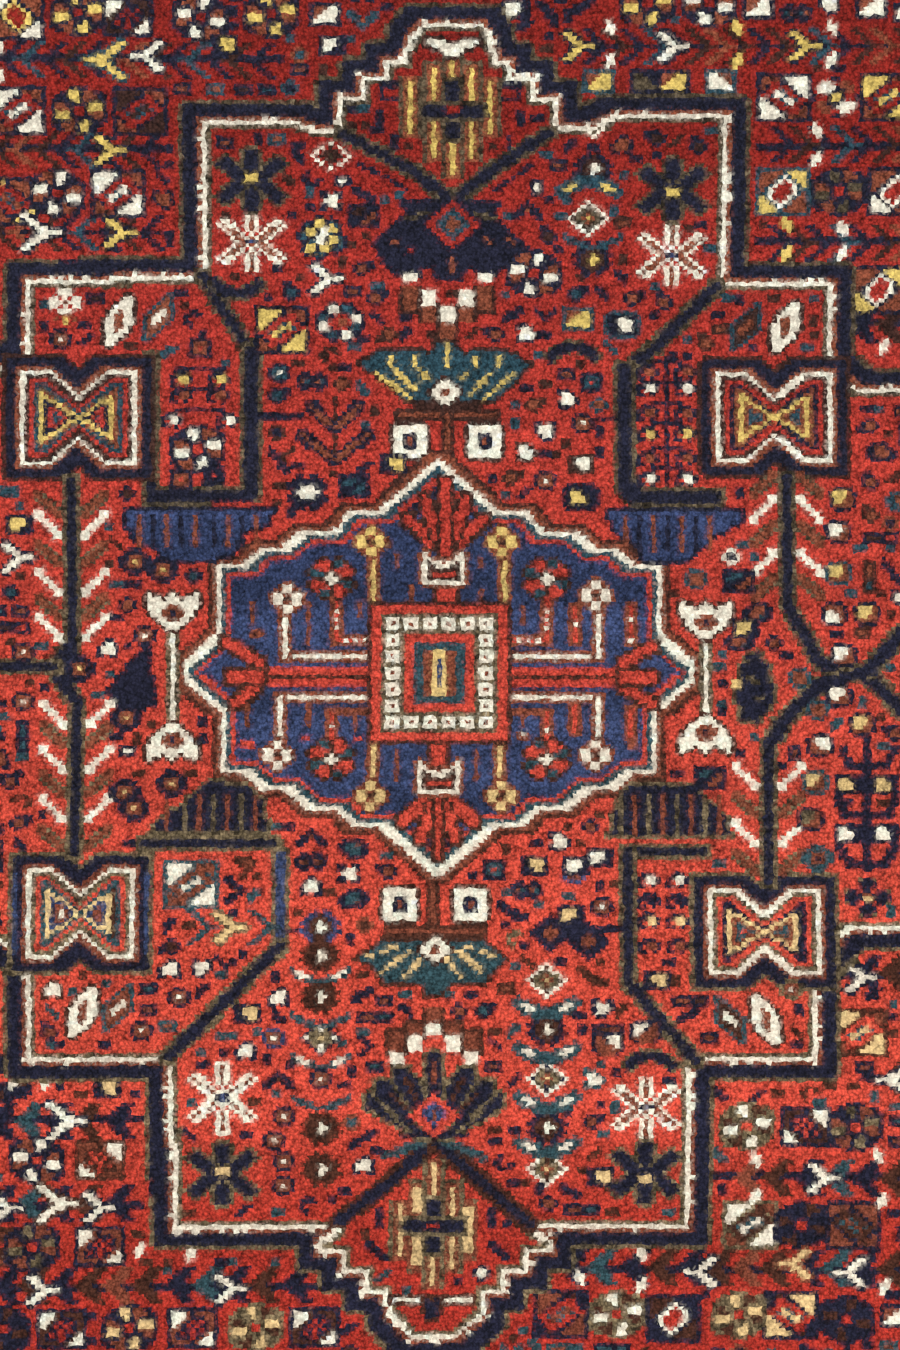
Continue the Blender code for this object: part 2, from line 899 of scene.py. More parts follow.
def branch(c0, c1, r):
    """A level stem with a dark leaf every few knots."""
    tie(near([(c0, r), (c1, r)], STEM_REACH), "n")
    step = 1 if c1 > c0 else -1
    leaf, apart = ("fine_chevron", 4.4) if r > FINE_FROM else ("chevron", 6.2)
    for number in range(int(abs(c1 - c0) / apart)):
        swap = "n>" + LEAF_YARNS[number % len(LEAF_YARNS)]
        stamped(MOTIFS[leaf], c0 + step * (BARE_STEM + apart * number), r, "-" if step > 0 else "h", swap)


for row in table("""
start stop row
-36 -106 150
-60 -106 128
-60 -106 107.5
26  106  153.5
66  106  129
66  106  106
106 84   86
-66 -106 -108
-66 -106 -129
-28 -106 -149
106 57   -122
106 22   -145
106 84   -73
106 88   -98
"""):
    branch(float(row["start"]), float(row["stop"]), float(row["row"]))

motifs("""
motif       turn swap    edge places
ring_box    h    ig>gi   -    -92,160
ring_box    -    n>t     -    71,118
ring_box    -    -       -    92,94
ring_box    -    g>i     -    95,118
corner_box  -    in>gk   -    87,-87
corner_box  -    -       -    -92,137|-71,117
corner_box  -    i>k     -    -66,137
corner_box  -    iu>un   -    24,-156
night_box   -    -       -    -69,160|-28,-159|-82,-159
night_box   -    k>u     -    -75,-139|-55,-159
corner_box  h    -       -    71,141
corner_box  h    iu>gn   -    73,-156
night_box   h    -       -    75,-110
corner_box  h    ir>uk   -    86,-134
corner_box  -    nr>ok   -    64,-134
night_box   h    nk>ku   -    -74,-118|-95,-139
corner_box  h    iu>ug   -    -94,115
corner_box  -    i>g     -    93,141
pinwheel    -    i>g     -    -79,161|-79,137|-38,161|42,164|-68,-159
pinwheel    h    -       -    -53,160|-84,117|55,164|-88,-118
pinwheel    -    iu>ou   -    83,118|-89,-139|86,-110
pinwheel    -    nu>ok   -    63,-110|36,-156
pinwheel    -    inu>gok -    62,-156|-41,-159
pinwheel    -    iu>nk   -    75,-134
pinwheel    h    iu>kn   -    85,-157|-95,-98|-95,-159
big_rosette -    -       -    82,141
ring_box    -    ug>kn   -    48,-157
big_half    -    in>gt   -    32,145
big_half    -    i>g     -    48,145
big_half    h    n>t     -    57,145.5
big_half    h    iu>on   -    41,145
big_half    -    -       -    -27,161|66,163|89,163|95,-156
half_box    -    -       -    -25,153|14,162.5
half_box    h    i>g     -    -73.5,-101|-48,153
thin_y      h    -       n    -64,150|54,-145|86,-145
y_leaf      h    i>g     t    -73,149.5
thin_y      -    i>g     n    -73,127.5|-71,107.5|28,153.5|76,153.5
y_leaf      -    -       n    -88,107.5|-81,-108
y_leaf      h    -       n    95,-98
thin_y      -    -       n    48,153.5|-74,-129|-94,-129|-86,-149|-47,-149|79,-122.5|87,-73
y_leaf      -    -       k    -84,-129
thin_y      h    i>g     u    73,-144
leaf_blob   -    -       -    34,149.5|81,149.5|78,126|84,103|92,-128|-96,145|65,-127|93,-149|41,-149|
    -55,-141|-66,-140|-86,-99|-93,-99|93,80
leaf_blob   h    -       -    34,158.5|81,158.5|78,133|84,109|91,-117|-96,153|65,-118|41,-141|28,-147
leaf_blob   -    i>g     -    61,149.5|72,103
leaf_blob   h    i>g     -    61,158.5|72,110
""")

tell("outside")

# %% [markdown]
# ## The stepped panel
# The panel is one long stepped outline with a pendant at each end. It could be drawn line by line, but
# its rings of olive, navy, rust and ivory must stay side by side round every corner. So it is one
# path, and each ring is all the knots within some distance of that path, on the side it belongs to.

# %% The panel's outline and its rings
PANEL = path_of(
    "-53,97|-53,135|-33,135|-28,133|-24,133|-24,141|-19,141|-19,146|-14,146|-14,150"
    "|-10,150|-9,155|-6,159|7,159|9,155|10,150|13,150|13,146|18,146|18,141|23,141|23,134"
    "|30,134|35,137|59,137|59,96|82,96|82,75|88,70|106,70|106,-62|85,-62|78,-70|78,-94|51,-94|51,-135"
    "|18,-135|22,-138|22,-141|17,-141|17,-146|12,-146|12,-151|8,-151|8,-156|2,-162|-8,-162"
    "|-13,-156|-14,-151|-18,-151|-18,-146|-23,-146|-23,-141|-28,-141|-28,-138|-24,-135"
    "|-59,-135|-60,-94|-90,-94|-90,-68|-106,-60|-106,72|-95,75|-91,78|-91,96")
PANEL_OUTSIDE = {"o": 5.2, "n": 4.3}  # how far from the path each ring reaches, in knots
PANEL_INSIDE = 2.1
IVORY_REACH = 1
STRAY_IVORY = 0.15  # the share of the outer ivory knots that are tied
loop = PANEL + PANEL[:1]
inside = area(PANEL)
for yarn, reach in PANEL_OUTSIDE.items():
    tie(near(loop, reach) & ~inside, yarn)
tie(inside, "r")
tie(near(loop, PANEL_INSIDE) & inside, "o")
tie(near(loop, IVORY_REACH), "u")
strays = np.random.default_rng(3).random(chart.shape) < STRAY_IVORY
tie(near(loop, IVORY_REACH) & (inside | strays), "i")
tell("panel")

# %% Navy lines that divide the panel
lines("""
pen yarn edge paths
2   n    o    -53,97|-43,79;57,95|44,80|38,75;38,-43|38,-75|52,-94;-23,132|-8,123|-1,117;21,132.5|8,122.5|
    2,117
3   n    o    -42.5,79|-42.5,44|-64,43.5|-64,77;37.5,75|37.5,46|40,43.5|57,43.5
2   b    o    -37,-42|-36,-44|-36,-66
2   n    o    -36,-66|-50,-82|-60,-93
2   n    -    -41,63|-32,63;30,62.5|37,62.5;-35,-62.5|-28,-62.5;23,-62|38,-62
1   n    -    -53,62|-53,81;46.5,46|46.5,78;46,-47|46,-69;-20,125|-9,118.5;18,125|9,118
2   n    k    -4,-114|-12,-123|-24,-133.5;-3,-114|5,-122|17,-134
2   t    -    -5,-113.5|-14,-117.5;-1,-113.5|7,-118
""")

# %% The pendants at the two ends
for row in table("""
across low    high
-8.5   133    144
8.5    133    144
-3.5   141    147.5
4.5    141    147.5
-3.5   127    135
4.5    127    135
0.5    145    151
0.5    123    130.5
-10.5  -141   -130
4      -141   -130
-7     -131   -125.5
0.5    -131   -125.5
-7     -144   -136.5
0.5    -144   -136.5
-3.3   -127.5 -120
-3.3   -148   -140
"""):
    bar = [(float(row["across"]), float(row["low"])), (float(row["across"]), float(row["high"]))]
    for reach, yarn in ((2.4, "o"), (1.7, "u"), (0.55, "g")):
        tie(near(bar, reach), yarn)
lines("""
pen yarn edge paths
2   i    k    -4,154.5|-1,153.5|0.5,152|2,153.5|5,154.5;-11,-152.5|4,-152.5
3   n    o    0.5,132.5|0.5,143.5;-5,137.7|6,137.7;-3.3,-129|-3.3,-140;-8.5,-134.5|2,-134.5
2   r    -    -0.5,137.7|1.5,137.7;-4,-134.5|-2.5,-134.5
2   n    -    -12,144|-14.5,144|-14.5,140.5|-12,140.5;12,144|14.5,144|14.5,140.5|12,140.5;-15,137.5|
    -15,135;15,137.5|15,135;-12,128.5|-12,131;12.5,128.5|12.5,131;-17,-139|-14,-142;9,-139|12,-142;
    -15,-131|-15,-134;9,-131|9,-134
2   n    k    -4.5,-153|-3.5,-156.5|-2.5,-153
""")
tell("lines and pendants")

# %% [markdown]
# ## Palmettes and fans
# On the long axis stand two dark palmettes, and a teal fan with gold veins opens from each towards the
# medallion. The one at the foot is a spray of dark petals, so it is drawn petal by petal from the
# outermost in, and each petal's olive edge cuts it off from the one before.

# %% The palmettes and the fans
lines("""
pen yarn edge paths
4   n    o    -6,-111|-16,-104;-1,-111|9,-104;-6,-110|-14.5,-100.5;-1,-110|7.5,-100.5;-5,-108|-10.5,-97.5;
    -2,-108|3.5,-97.5
3   n    o    -3.5,-106|-3.5,-93.5
2   n    -    -10,-112.5|3,-112.5
1   u    -    -3.5,-94|-3.5,-99.5
1   k    -    -7,-104|-9.5,-98.5;0,-104|2.5,-98.5;-9,-106|-13,-102;2,-106|6,-102
""")
patches("""
yarns outline
n     -11,115.5|11,115.5|10,112|17,105|14,101|10,97|6,97|4,100|3,96|-3,96|-5,100|-6,97|-11,97|-15,101|
    -17,105|-10,112
r     -5.5,110|0.6,115.8|6.5,110|0.6,104
t     -3.2,110|0.6,113.6|4.2,110|0.6,106.4
u     -1.2,110|0.6,111.8|2.4,110|0.6,108.2
kt    -16,79.5|-5,79.5|-4,78|-3.5,82|2,82|3,78|4,79.5|13,79.5|18.5,76|10,66|-9,66|-20.5,76
k     -9,67|9,67|7,65|-7,65
r     -9,-107.3|-3.5,-101.5|2,-107.3|-3.5,-113
b     -6.5,-107.3|-3.5,-104|-0.5,-107.3|-3.5,-110.6
u     -4.5,-107.3|-3.5,-106|-2.5,-107.3|-3.5,-108.6
kt    -15,-64.5|8,-64.5|13,-69.5|10,-72|8,-76|3,-75.5|0,-76|-1,-79|-6,-79|-6.5,-76|-10.5,-76|-15,-76|
    -16,-72|-21,-69.5
""")
lines("""
pen yarn edge paths
1   o    -    -9.5,111.5|-4.5,112.5;5.5,112.5|9.5,111.5
1   u    -    0.5,102|0.5,98;7,107|9,105;12,107|14,105;-13,106|-11,105
1   r    -    -9,103.5|-8,103
1   g    -    -12.5,78|-12.5,75.5;-7.5,78|-7.5,75.5;-0.5,81|-0.5,75.5;5.5,78|5.5,75.5;10.5,78|10.5,75.5
0.8 g    -    -16,74|-8.5,67.5;-12,74.5|-7,69.5;-7,75|-4.5,72;4,74|2,72;9,74|4.5,68.5;14,74|7,67;-18,-69|
    -10.5,-66;-14.5,-72.5|-8,-67;-10,-74|-6,-69.5;2.5,-74|-0.5,-69.5;7,-72.5|1.5,-67;10.5,-69|3,-66
1   u    k    -11,63.5|10,63.5;-0.5,63.5|-0.5,53.5;-3.5,-50|-3.5,-62.5;-13,-62.5|7,-62.5
""")
motifs("""
motif   turn swap edge places
rosette -    -    k    -1,68.5|-3.5,-66.5
eye_box -    -    k    -9,57|7,57|-11,-55.5|4.5,-55.5
""")

# %% A stair of ivory and rust blocks between each palmette and its fan
for middle, ivory_row, way in ((-0.5, 88.3, 1.0), (-3.5, -86.5, -0.85)):
    for row in table("""
    aside ivory ivory_tall rust rust_tall
    0     0     4          -4.1 4.6
    4     4     4          0    4.6
    8     8.4   2.4        3.6  7
    """):
        for side in (-1, 1):
            c = middle + side * float(row["aside"])
            r = ivory_row + way * float(row["rust"])
            tie(block(c, r, 4.1, float(row["rust_tall"])), "k")
            tie(block(c, r, 3.1, float(row["rust_tall"]) - 1), "u")
            tie(block(c, ivory_row + way * float(row["ivory"]), 3.1, float(row["ivory_tall"])), "i")

tell("palmettes")

# %% [markdown]
# ## The medallion
# The medallion is a blue hexagon with stepped sides. Its right half is drawn, and the left half is the
# same path mirrored, because the weaver counted it out from the middle. Inside, ivory and gold stems
# with four-petalled flowers grow out of a red frame, beaded here and there with ivory.

# %% The medallion's outline and ground
right = path_of(
    "0.5,52.5|12.5,39.5|19.5,39.5|22.5,34.5|29.5,34.5|33.5,30.5|38.5,30.5|41.5,26.5|47.5,26.5|47.5,9.5"
    "|54.5,2.5|54.5,-1.5|46.5,-8.5|46.5,-23.5|41.5,-23.5|37.5,-27.5|32.5,-27.5|27.5,-32.5|21.5,-32.5"
    "|18.5,-36.5|12.5,-36.5|0.5,-48.5")
MEDALLION = [(c - 3, r) for c, r in right] + [(-2 - c, r) for c, r in right[::-1]]
OUTER_RING = 2.9
INNER_RING = 1.9
IVORY_LINE = 0.6
NAVY_TIPS = 39  # the ground is navy beyond this row
loop = MEDALLION + MEDALLION[:1]
inside = area(MEDALLION)
tie(near(loop, OUTER_RING) & ~inside, "k")
tie(near(loop, INNER_RING) & ~inside, "u")
tie(inside, "b")
tie(inside & (np.abs(AT_ALONG) > NAVY_TIPS), "n")
tie(near(loop, OUTER_RING) & inside, "r")
tie(near(loop, INNER_RING) & inside, "t")
tie(near(loop, IVORY_LINE), "i")
lines("""
pen yarn edge paths
2   r    k    -3,31.5|-9,38;1,31.5|7,38;-2.5,33|-5.5,43;0.5,33|3.5,43;-1,30|-1,47;-4,-29.5|-10.5,-36;
    -1,-29.5|5.5,-36;-3.5,-31|-6.5,-40.5;-1.5,-31|1.5,-40.5;-2.5,-28|-2.5,-44.5;-41,3|-48,8;-42,-3|-46,-7;
    37,3|43,7;37,-3|43,-7
1   i    u    -36,4.5|-18,4.5;13,4.5|31.5,4.5;-36,-5.5|-18,-5.5;13,-5.5|31.5,-5.5;-35.5,4.5|-35.5,17;
    -36.5,-5.5|-36.5,-17;31.5,4.5|31.5,17;31.5,-5.5|31.5,-17
2   r    -    -18,1|-41,1;-18,-2|-41,-2;13,1|38,1;13,-2|38,-2;-31,-15.5|-30.5,-15.5;-20.5,-15.5|-20,-15.5
1   k    -    -18,-0.5|-41,-0.5;13,-0.5|38,-0.5
3   r    k    -41,-0.5|-47,-0.5;37,-0.5|42.5,-0.5
1   g    u    -16.5,18|-16.5,31;11.5,18|11.5,31;-16.5,-17|-16.5,-27;10.5,-17|10.5,-27
1   r    u    -24.5,19|-24.5,8.5|-18,8.5;20.5,19|20.5,8.5|13,8.5;-25.5,-16|-25.5,-9|-18,-9;20.5,-16|
    20.5,-9|13,-9;26.5,8|26.5,17;38.5,8|38.5,17;26.5,-7|26.5,-14;38.5,-8|38.5,-15
1   u    -    -42.5,12|-42.5,18;-43.5,-7|-43.5,-13;-30.5,7|-30.5,18;-30.5,-7|-30.5,-13;-19.5,14|-19.5,18;
    -20.5,-10|-20.5,-14;15.5,12|15.5,17;15.5,-10|15.5,-13;-11.5,26|-11.5,30;6.5,26|6.5,29;-8.5,18|-8.5,22;
    6.5,18|6.5,21;-11.5,-18|-11.5,-26;5.5,-18|5.5,-26
4   r    k    -1,17|-1,21.5;-2.5,-17|-2.5,-20
3   u    -    -42,10|-41.5,10;15.5,-15|16,-15
3   r    -    -43.5,-17|-43,-17
2   u    -    38.5,-17|39,-17
""")
motifs("""
motif  turn swap edge places
petals -    -    u    -35.5,19|31.5,19.5
petals v    -    u    -36.5,-19|31.5,-19.5
petals -    i>g  u    -16.5,32.5|11.5,32.5
petals v    i>g  u    -16.5,-29.5|10.5,-29.5
m_box  -    -    u    -1.5,26|-2.5,-25
flower -    -    k    -25.5,23.5|20.5,23.5
flower v    -    k    -25.5,-21|20.5,-21
""")
beads("""
count path
5     -24.5,18|-24.5,9
3     -22.5,8.5|-18.5,8.5
5     20.5,18|20.5,9
3     18.5,8.5|14.5,8.5
3     -25.5,-10|-25.5,-15
3     -24.5,-9|-19.5,-9
3     20.5,-11|20.5,-16
3     19.5,-9|14.5,-9
3     26.5,9|26.5,16
4     38.5,8.5|38.5,16
2     26.5,-9|26.5,-13
2     38.5,-9|38.5,-13
2     -43,11.5|-41,8.5
1     -43.5,-14|-43.5,-15
1     15.5,-14.5|15.5,-15
""")
tell("medallion")

# %% The frame at the middle
# a red square, a ring of ivory cells, and smaller squares inside it
patches("""
yarns outline
krrr  -18,18|13,18|13,-17|-18,-17
o     -15,15|10,15|10,-14|-15,-14
rr    -10,10|5,10|5,-9|-10,-9
ttu   -8,8|3,8|3,-7|-8,-7
g     -4,6|-1,6|-1,-5|-4,-5
""")
tie(block(-2.5, 0.5, 1, 7), "b")
CELL = 3
CELL_PITCH = 4
cells = [(c, r, 3.9) for c in np.arange(6) * CELL_PITCH - 12.5 for r in (12.5, -11.5)]
cells += [(c, r, CELL) for r in 8.5 - np.arange(5) * CELL_PITCH for c in (-12.5, 7.5)]
for c, r, tall in cells:
    tie(block(c, r, CELL, tall), "i")
    tie(block(c, r, 1, 1), "u")

tell("frame")

# %% [markdown]
# ## Bow-tie boxes and combs
# A navy box with a waisted ivory ring stands at each shoulder of the panel. The rings inside it are the
# same outline drawn again and again, each a knot smaller, and two gold triangles meet in the middle.
# The combs beside the medallion are dark patches with thin teeth.

# %% The four bow-tie boxes
NOTCH = 5.5  # half the width of the notch, and its depth
NOTCH_WIDENS = 0.45
NOTCH_DEEPENS = 1.35
RIM_REACH = 3.2
NAVY_REACH = 2.5


def bow_tie(left, low, right, high, rim, sides, rings, core):
    """A waisted box: rim round it, navy with other sides, then its rings, and two triangles as a core."""
    half = (left + right) / 2
    level = (low + high) / 2

    def waisted(step):
        """The outline after so many rings, each a knot smaller."""
        wide = NOTCH + NOTCH_WIDENS * step
        deep = NOTCH + NOTCH_DEEPENS * step
        under = [(half - wide, low + step), (half, low + deep), (half + wide, low + step)]
        over = [(half + wide, high - step), (half, high - deep), (half - wide, high - step)]
        right_side = [(right - step, low + step), (right - step, high - step)]
        return [(left + step, low + step), *under, *right_side, *over, (left + step, high - step)]

    shape = waisted(0)
    for reach, yarn in ((RIM_REACH, rim), (NAVY_REACH, "n")):
        tie(near(shape + shape[:1], reach) | area(shape), yarn)
    for c in (left - 1.5, right + 1.5):
        tie(block(c, level, 2, high - low - 3), sides)
    for step, yarn in enumerate(rings):
        tie(area(waisted(step)), yarn)
    for side in (-1, 1):
        end = half + side * ((right - left) / 2 - 5.5)
        reach = (high - low) / 2 - 6
        banded(area([(end, level - reach), (end, level + reach), (half - side * 0.5, level)]), core)


bow_tie(-93, 50, -66, 75, "k", "n", "uikrtu", "gnrt")
bow_tie(56.5, 51, 83, 75, "k", "n", "uikrnu", "gutr")
bow_tie(-91, -70, -66, -46, "o", "b", "uiortk", "gbui")
bow_tie(54, -74, 80, -51, "o", "n", "uiornn", "gutr")

tell("bow-ties")

# %% The four combs
def comb(outline, body, edge, teeth, low, high):
    """A patch with upright teeth, named by where they stand and their yarn. The navy ones are wider."""
    banded(area(path_of(outline)), edge + body)
    for tooth in teeth.split():
        c, yarn = tooth.split(":")
        tie(near([(float(c), low), (float(c), high)], 1.0 if yarn == "n" else 0.6), yarn)


comb("-70,41|-37,41|-38,36|-44,34|-46,29|-51,27|-60,27|-63,30|-68,32|-70,36", "b", "n",
     "-66.5:u -63.5:n -60.5:u -57.5:n -54.5:u -50.5:n -47.5:u -44.5:n -41.5:u", 32, 38)
comb("33,41|63,41|63,37|58,34|54,30|50,27|41,27|39,32|34,35", "b", "n",
     "37.5:u 40.5:n 43.5:u 46.5:n 49.5:u 52.5:n 55.5:u", 31, 38)
comb("-65,-39|-38,-39|-39,-30|-43,-26|-52,-25|-56,-30|-62,-34", "n", "o",
     "-60.5:u -56.5:o -53.5:u -50.5:o -47.5:u -44.5:o -41.5:u", -30, -37)
comb("33,-40|61,-40|60,-35|56,-30|52,-26|38,-26|35,-31", "n", "o",
     "36.5:o 39.5:u 42.5:o 45.5:u 48.5:o 51.5:u 54.5:o 57.5:u", -30, -38)
lines("""
pen yarn edge paths
3   n    o    -65,-41|-38,-41;41,-43|54,-43
""")

tell("combs")

# %% [markdown]
# ## Trees, stars and gardens
# Between the boxes on each side grows a navy tree with pairs of leaves, dark and ivory in turn. The
# leaves lean the same way all up the trunk, so one function places a pair from its height alone.

# %% Feather trees at the sides
TRUNK = {"o": 2.1, "n": 1.3}
LEAF_START = 3
LEAF_END = 7
LEAF_RISE = 5
LEAF_REACH = 0.65
LEAF_EDGE = 1.2


def tree(trunk, leaves, dark_leaves, lift=1):
    """A navy trunk with pairs of leaves that slant up from it, or down from it where lift is -1."""
    for yarn, reach in TRUNK.items():
        tie(near(path_of(trunk), reach), yarn)
    for places, yarn in ((dark_leaves, "u"), (leaves, "i")):
        for c, r in path_of(places):
            for side in (-1, 1):
                start = (c + side * LEAF_START, r - LEAF_RISE * (lift > 0))
                end = (c + side * LEAF_END, r - LEAF_RISE * (lift < 0))
                if yarn == "u":
                    tie(near([start, end], LEAF_EDGE), "o")
                tie(near([start, end], LEAF_REACH), yarn)


tree("-81,47|-81,7|-85,2|-80,-7|-80,-43", "-81,39|-81,25|-81,14|-80,-7|-80,-18|-80,-30",
     "-81,44|-81,32|-81,19|-80,-12|-80,-24|-80,-37")
tree("72,48|72,17|79,3|90,-1|97,-9|106,-12", "72,43|72,30", "72,37|72,24|72,49", -1)
tree("106,14|97,11|89,1|79,-2|72,-10|68,-17|68,-50", "68,-22|68,-36", "68,-29|68,-43")
lines("""
pen yarn edge paths
2   n    o    -96,2|-85,2
2   i    o    -59.5,11|-59.5,-12;54.5,11|54.5,-12
2   n    -    89,-10|89,-47;84,-18|85,-22|93,-22|95,-18;83,-30|84,-34|94,-34|95,-30;83,-41|85,-46|93,-46|
    95,-41
""")
motifs("""
motif     turn swap    edge places
bone_head -    -       k    -59.5,15|54.5,14
bone_head v    -       k    -59.5,-16|54.5,-15
star      -    -       -    -43,105.5|47,102.5|41,-105
tall_star -    -       -    -48.5,-102.5
star      -    iub>nnn o    -43,120.5|47,118|-49,-121.5|41,-121.5
dash      -    n>g     -    -43,120.5|47,118|-49,-121.5|41,-122.5
lozenge   -    -       k    -71,85.5|72,85|-78,-82
lozenge   h    -       k    67,-84
dark_slit -    -       -    -62,87|-71,-81
dark_slit h    u>k     -    60,-84
dark_slit -    iu>uk   -    63,85
""")
tell("trees and stars")

# %% Gardens between the navy lines
# The same little figures come back all over the field: pinwheel flowers, boxes cut from corner to corner,
# forked leaves, stars and bells. Each is charted once, as rows of yarn letters, with a dot where the ground
# shows through. Under / the rows come again upwards without the middle one, and under // with it. Tables
# further down say where each one stands, how it is turned, and which yarns are swapped, because weavers
# seldom used the same wools twice running.
motifs("""
motif          turn swap    edge places
bell           -    i>g     -    -58,72.5|-49.5,72.5|43,59|50,59|43,-60.5|49,-60.5
bell           -    i>u     -    -58,67.5|-49.5,67.5|43,74.5|50,74.5|43,64|50,64|43,53|50,53|43,-66|49,-66
bell           -    -       -    -59,62.5|-48,62.5|43,69.5|50,69.5|43,48|50,48|43,-50|49,-50
pinwheel       -    -       -    -53.5,55
square         -    -       -    -58,48|-53.5,80
square         -    u>n     -    -50.5,48.5
bell           -    i>n     -    43,-55|49,-55
flat_diamond   -    iu>io   -    -25,127
full_diamond   -    -       -    29.5,112|20.5,-74.5|20,-120.5
full_diamond   -    k>n     -    20.5,-98.5
dark_gem       -    i>g     -    30,102
dark_gem       -    -       -    30,123|20,-86.5|20,-110
x_star         -    -       -    -25.5,116|-22,-49
vee            -    -       -    30,132.5
winglet        v    i>g     t    29.5,119
winglet        -    ni>tt   -    30,106.5
posy           -    -       n    -27,106.5
small_pinwheel -    n>t     n    -23,86
pinwheel       h    -       -    18,97.5
thin_y         -    -       n    -27,97
half_box       -    i>g     -    26,-58
corner_box     -    i>g     -    -36,84.5
arch           v    -       -    -45,94
big_half       -    in>gt   -    27.5,87
half_box       h    -       t    37.5,86
half_box       h    n>k     -    28,51
half_box       v    i>g     n    28,43.5
rose           -    -       -    28,62|20,47|-84,82|-27,-98.5|-36,-119|-35,-124.5|-35,-107.5|-38,-113.5|
    -65,-87|-57,-79
cross          -    uti>nii n    -30,44.5
dark_diamond   -    i>u     -    21,-63|30,-64.5
dark_gem       -    n>b     -    -27,-61.5
dark_gem       -    n>k     -    -27,-68|-27,-78.5|-27,-111|-27,-121
full_diamond   -    iku>nio -    -27,-88.5
rose           -    n>b     -    -38,-88.5|27,-48
winglet        -    -       t    20.5,-81|20,-92.5|20.5,-104.5|20,-115
winglet        -    n>t     -    -27,-73|-27,-93.5
winglet        -    i>t     -    -27,-84|-27,-104.5
arch           -    -       -    42,-94|27,79
cross_flower   -    -       -    -82,89.5
big_half       -    ui>ku   -    33,-88
dark_half      -    -       -    42,-87.5
dark_half      h    -       -    33,-90
half_box       -    -       -    27,-46|32,-45
half_box       h    i>g     -    18,-46|32,-122|44,-74|-43,-83|-12,51
thin_y         -    i>g     o    -47,-61.5
corner_box     -    nr>tu   -    -55,-51
fine_chevron   -    n>t     -    -52,-61.5|-39.5,-61.5
rose           -    nui>oui -    72,-77
""")
lines("""
pen yarn edge paths
1   n    -    -59,74.5|-48,74.5;-59,69.5|-48,69.5;-59,64.5|-48,64.5;43,76.5|50,76.5;43,71.5|50,71.5;
    43,66.5|50,66.5;43,61.5|50,61.5;43,55.5|50,55.5;43,50.5|50,50.5
1   k    -    -24.5,52|-24.5,68
1   u    n    -24.5,52|-32,59;-24.5,52|-17,59;-24.5,60|-30,66;-24.5,60|-19,66
""")
patches("""
yarns outline
n     -64,8|-63,-8|-70,-10|-74,-4|-70,2
on    62,5|66,7|69,2|70,-6|66,-13|61,-11|60,-3
""")
for number in range(7):
    tie(block(-71 + 1.2 * number, -5 + 2 * number - 5 * (number % 2), 1, 1), "t")
    tie(block(62 + 1.1 * number, 4 - 2.4 * number + 2 * (number % 2), 2, 1), "o")
tie(block(61, -2, 3, 2), "g")
motifs("""
motif     turn swap  edge places
split_gem -    in>gn -    84,42.5|88.5,14.5|88,-12
split_gem -    -     -    83.5,34.5|83,-4.5
split_gem h    -     -    79.5,-17
split_gem v    -     -    82,15
split_gem q    -     -    84,5.5
split_gem -    in>gt -    83,25.5|78,-26
split_gem -    ni>no -    77.5,-34.5
rose      -    ni>tn t    78,-44
rose      -    -     -    -92,6|-92,-6|-66,10
rose      -    i>g   n    -67,28|-62,26|-79,1.5|-69,-10.5|-69.5,-29|-67,-32.5|-60,-26
quad      -    -     -    89,-54
split_box -    -     -    62,23.5|56,-25.5
rose      -    ni>tu -    53,23|74,0|79,-9
blot      -    -     -    66,15|61,8.5
thin_y    -    -     n    -93,28.5
half_box  -    i>g   -    -92,36.5|63,11
half_box  v    i>g   -    85,-27|93,-27
half_box  v    -     -    85,-39|93,-39
""")
tell("gardens")

# %% [markdown]
# ## Small fillings
# No red ground stays bare for more than a few knots. Listing hundreds of tiny figures would be long and
# would look too regular, so a seeded scatter walks over the chart and drops a small figure wherever the
# ground is still wide enough, the widest figures first.

# %% Fillings wherever the red is still bare
scatter("""
spare motifs swaps
2.1 blot,split_box,paw,crescent,wedge,zig,claw,bar_leaf,tulip -,n>t,-,u>t,n>k,ut>tu,ut>kr,t>k,ni>nu
2.1 blot,rose,crescent,wedge,seed,claw,zig,curl,hook,square,fork,square -,-,nu>ok,u>t,n>k,ut>tu,ut>kr,n>t
2.1 wedge,square,curl,eye,nut,bird,tulip,fork,crescent,seed_box -,-,u>t,n>k,u>i,-
1.5 comma,slant,nut,seed_box,eye,dash,bird -,n>k,n>t,u>k,-
1.2 dot,dash,slant,comma -,n>k,n>t
""", 5)
tell("fillings")

# %% [markdown]
# ## The guard
# The rim is finished plainly, with one ivory line between two navy ones and a rust edge.

# %% A plain guard round the rim
LONGER = 68.4  # how much further the ends lie from the middle than the sides do, in knots
for reach, yarn in ((97.6, "n"), (99.6, "i"), (100.6, "n"), (101.6, "u")):
    tie((np.abs(AT_ACROSS) > reach) | (np.abs(AT_ALONG) > reach + LONGER), yarn)
tell("guard")

# %% [markdown]
# ## The outline of the rug
# A loom keeps the sides nearly straight but never quite. The frame's outline wanders by a millimetre
# or two in slow waves, and every piece follows the same waves, so that the pile, the cords and the
# tassels meet. One function puts any place on the rug where the weave has pulled it.

# %% Where a place on the rug lies
PILE_WIDTH = KNOTS_ACROSS * KNOT_ACROSS
PILE_LENGTH = KNOT_ROWS * KNOT_ALONG
FOUNDATION_THICK = 0.0022
PLAIN_END = 0.0100
SIDE_WAVES = {
    "left": ((0.0014, 0.83, 0.6), (0.0007, 0.29, 2.1)),
    "right": ((0.0012, 0.71, 3.4), (0.0008, 0.33, 0.4)),
}
END_WAVES = {"foot": ((0.0013, 0.92, 1.2),), "head": ((0.0016, 1.10, 4.0),)}


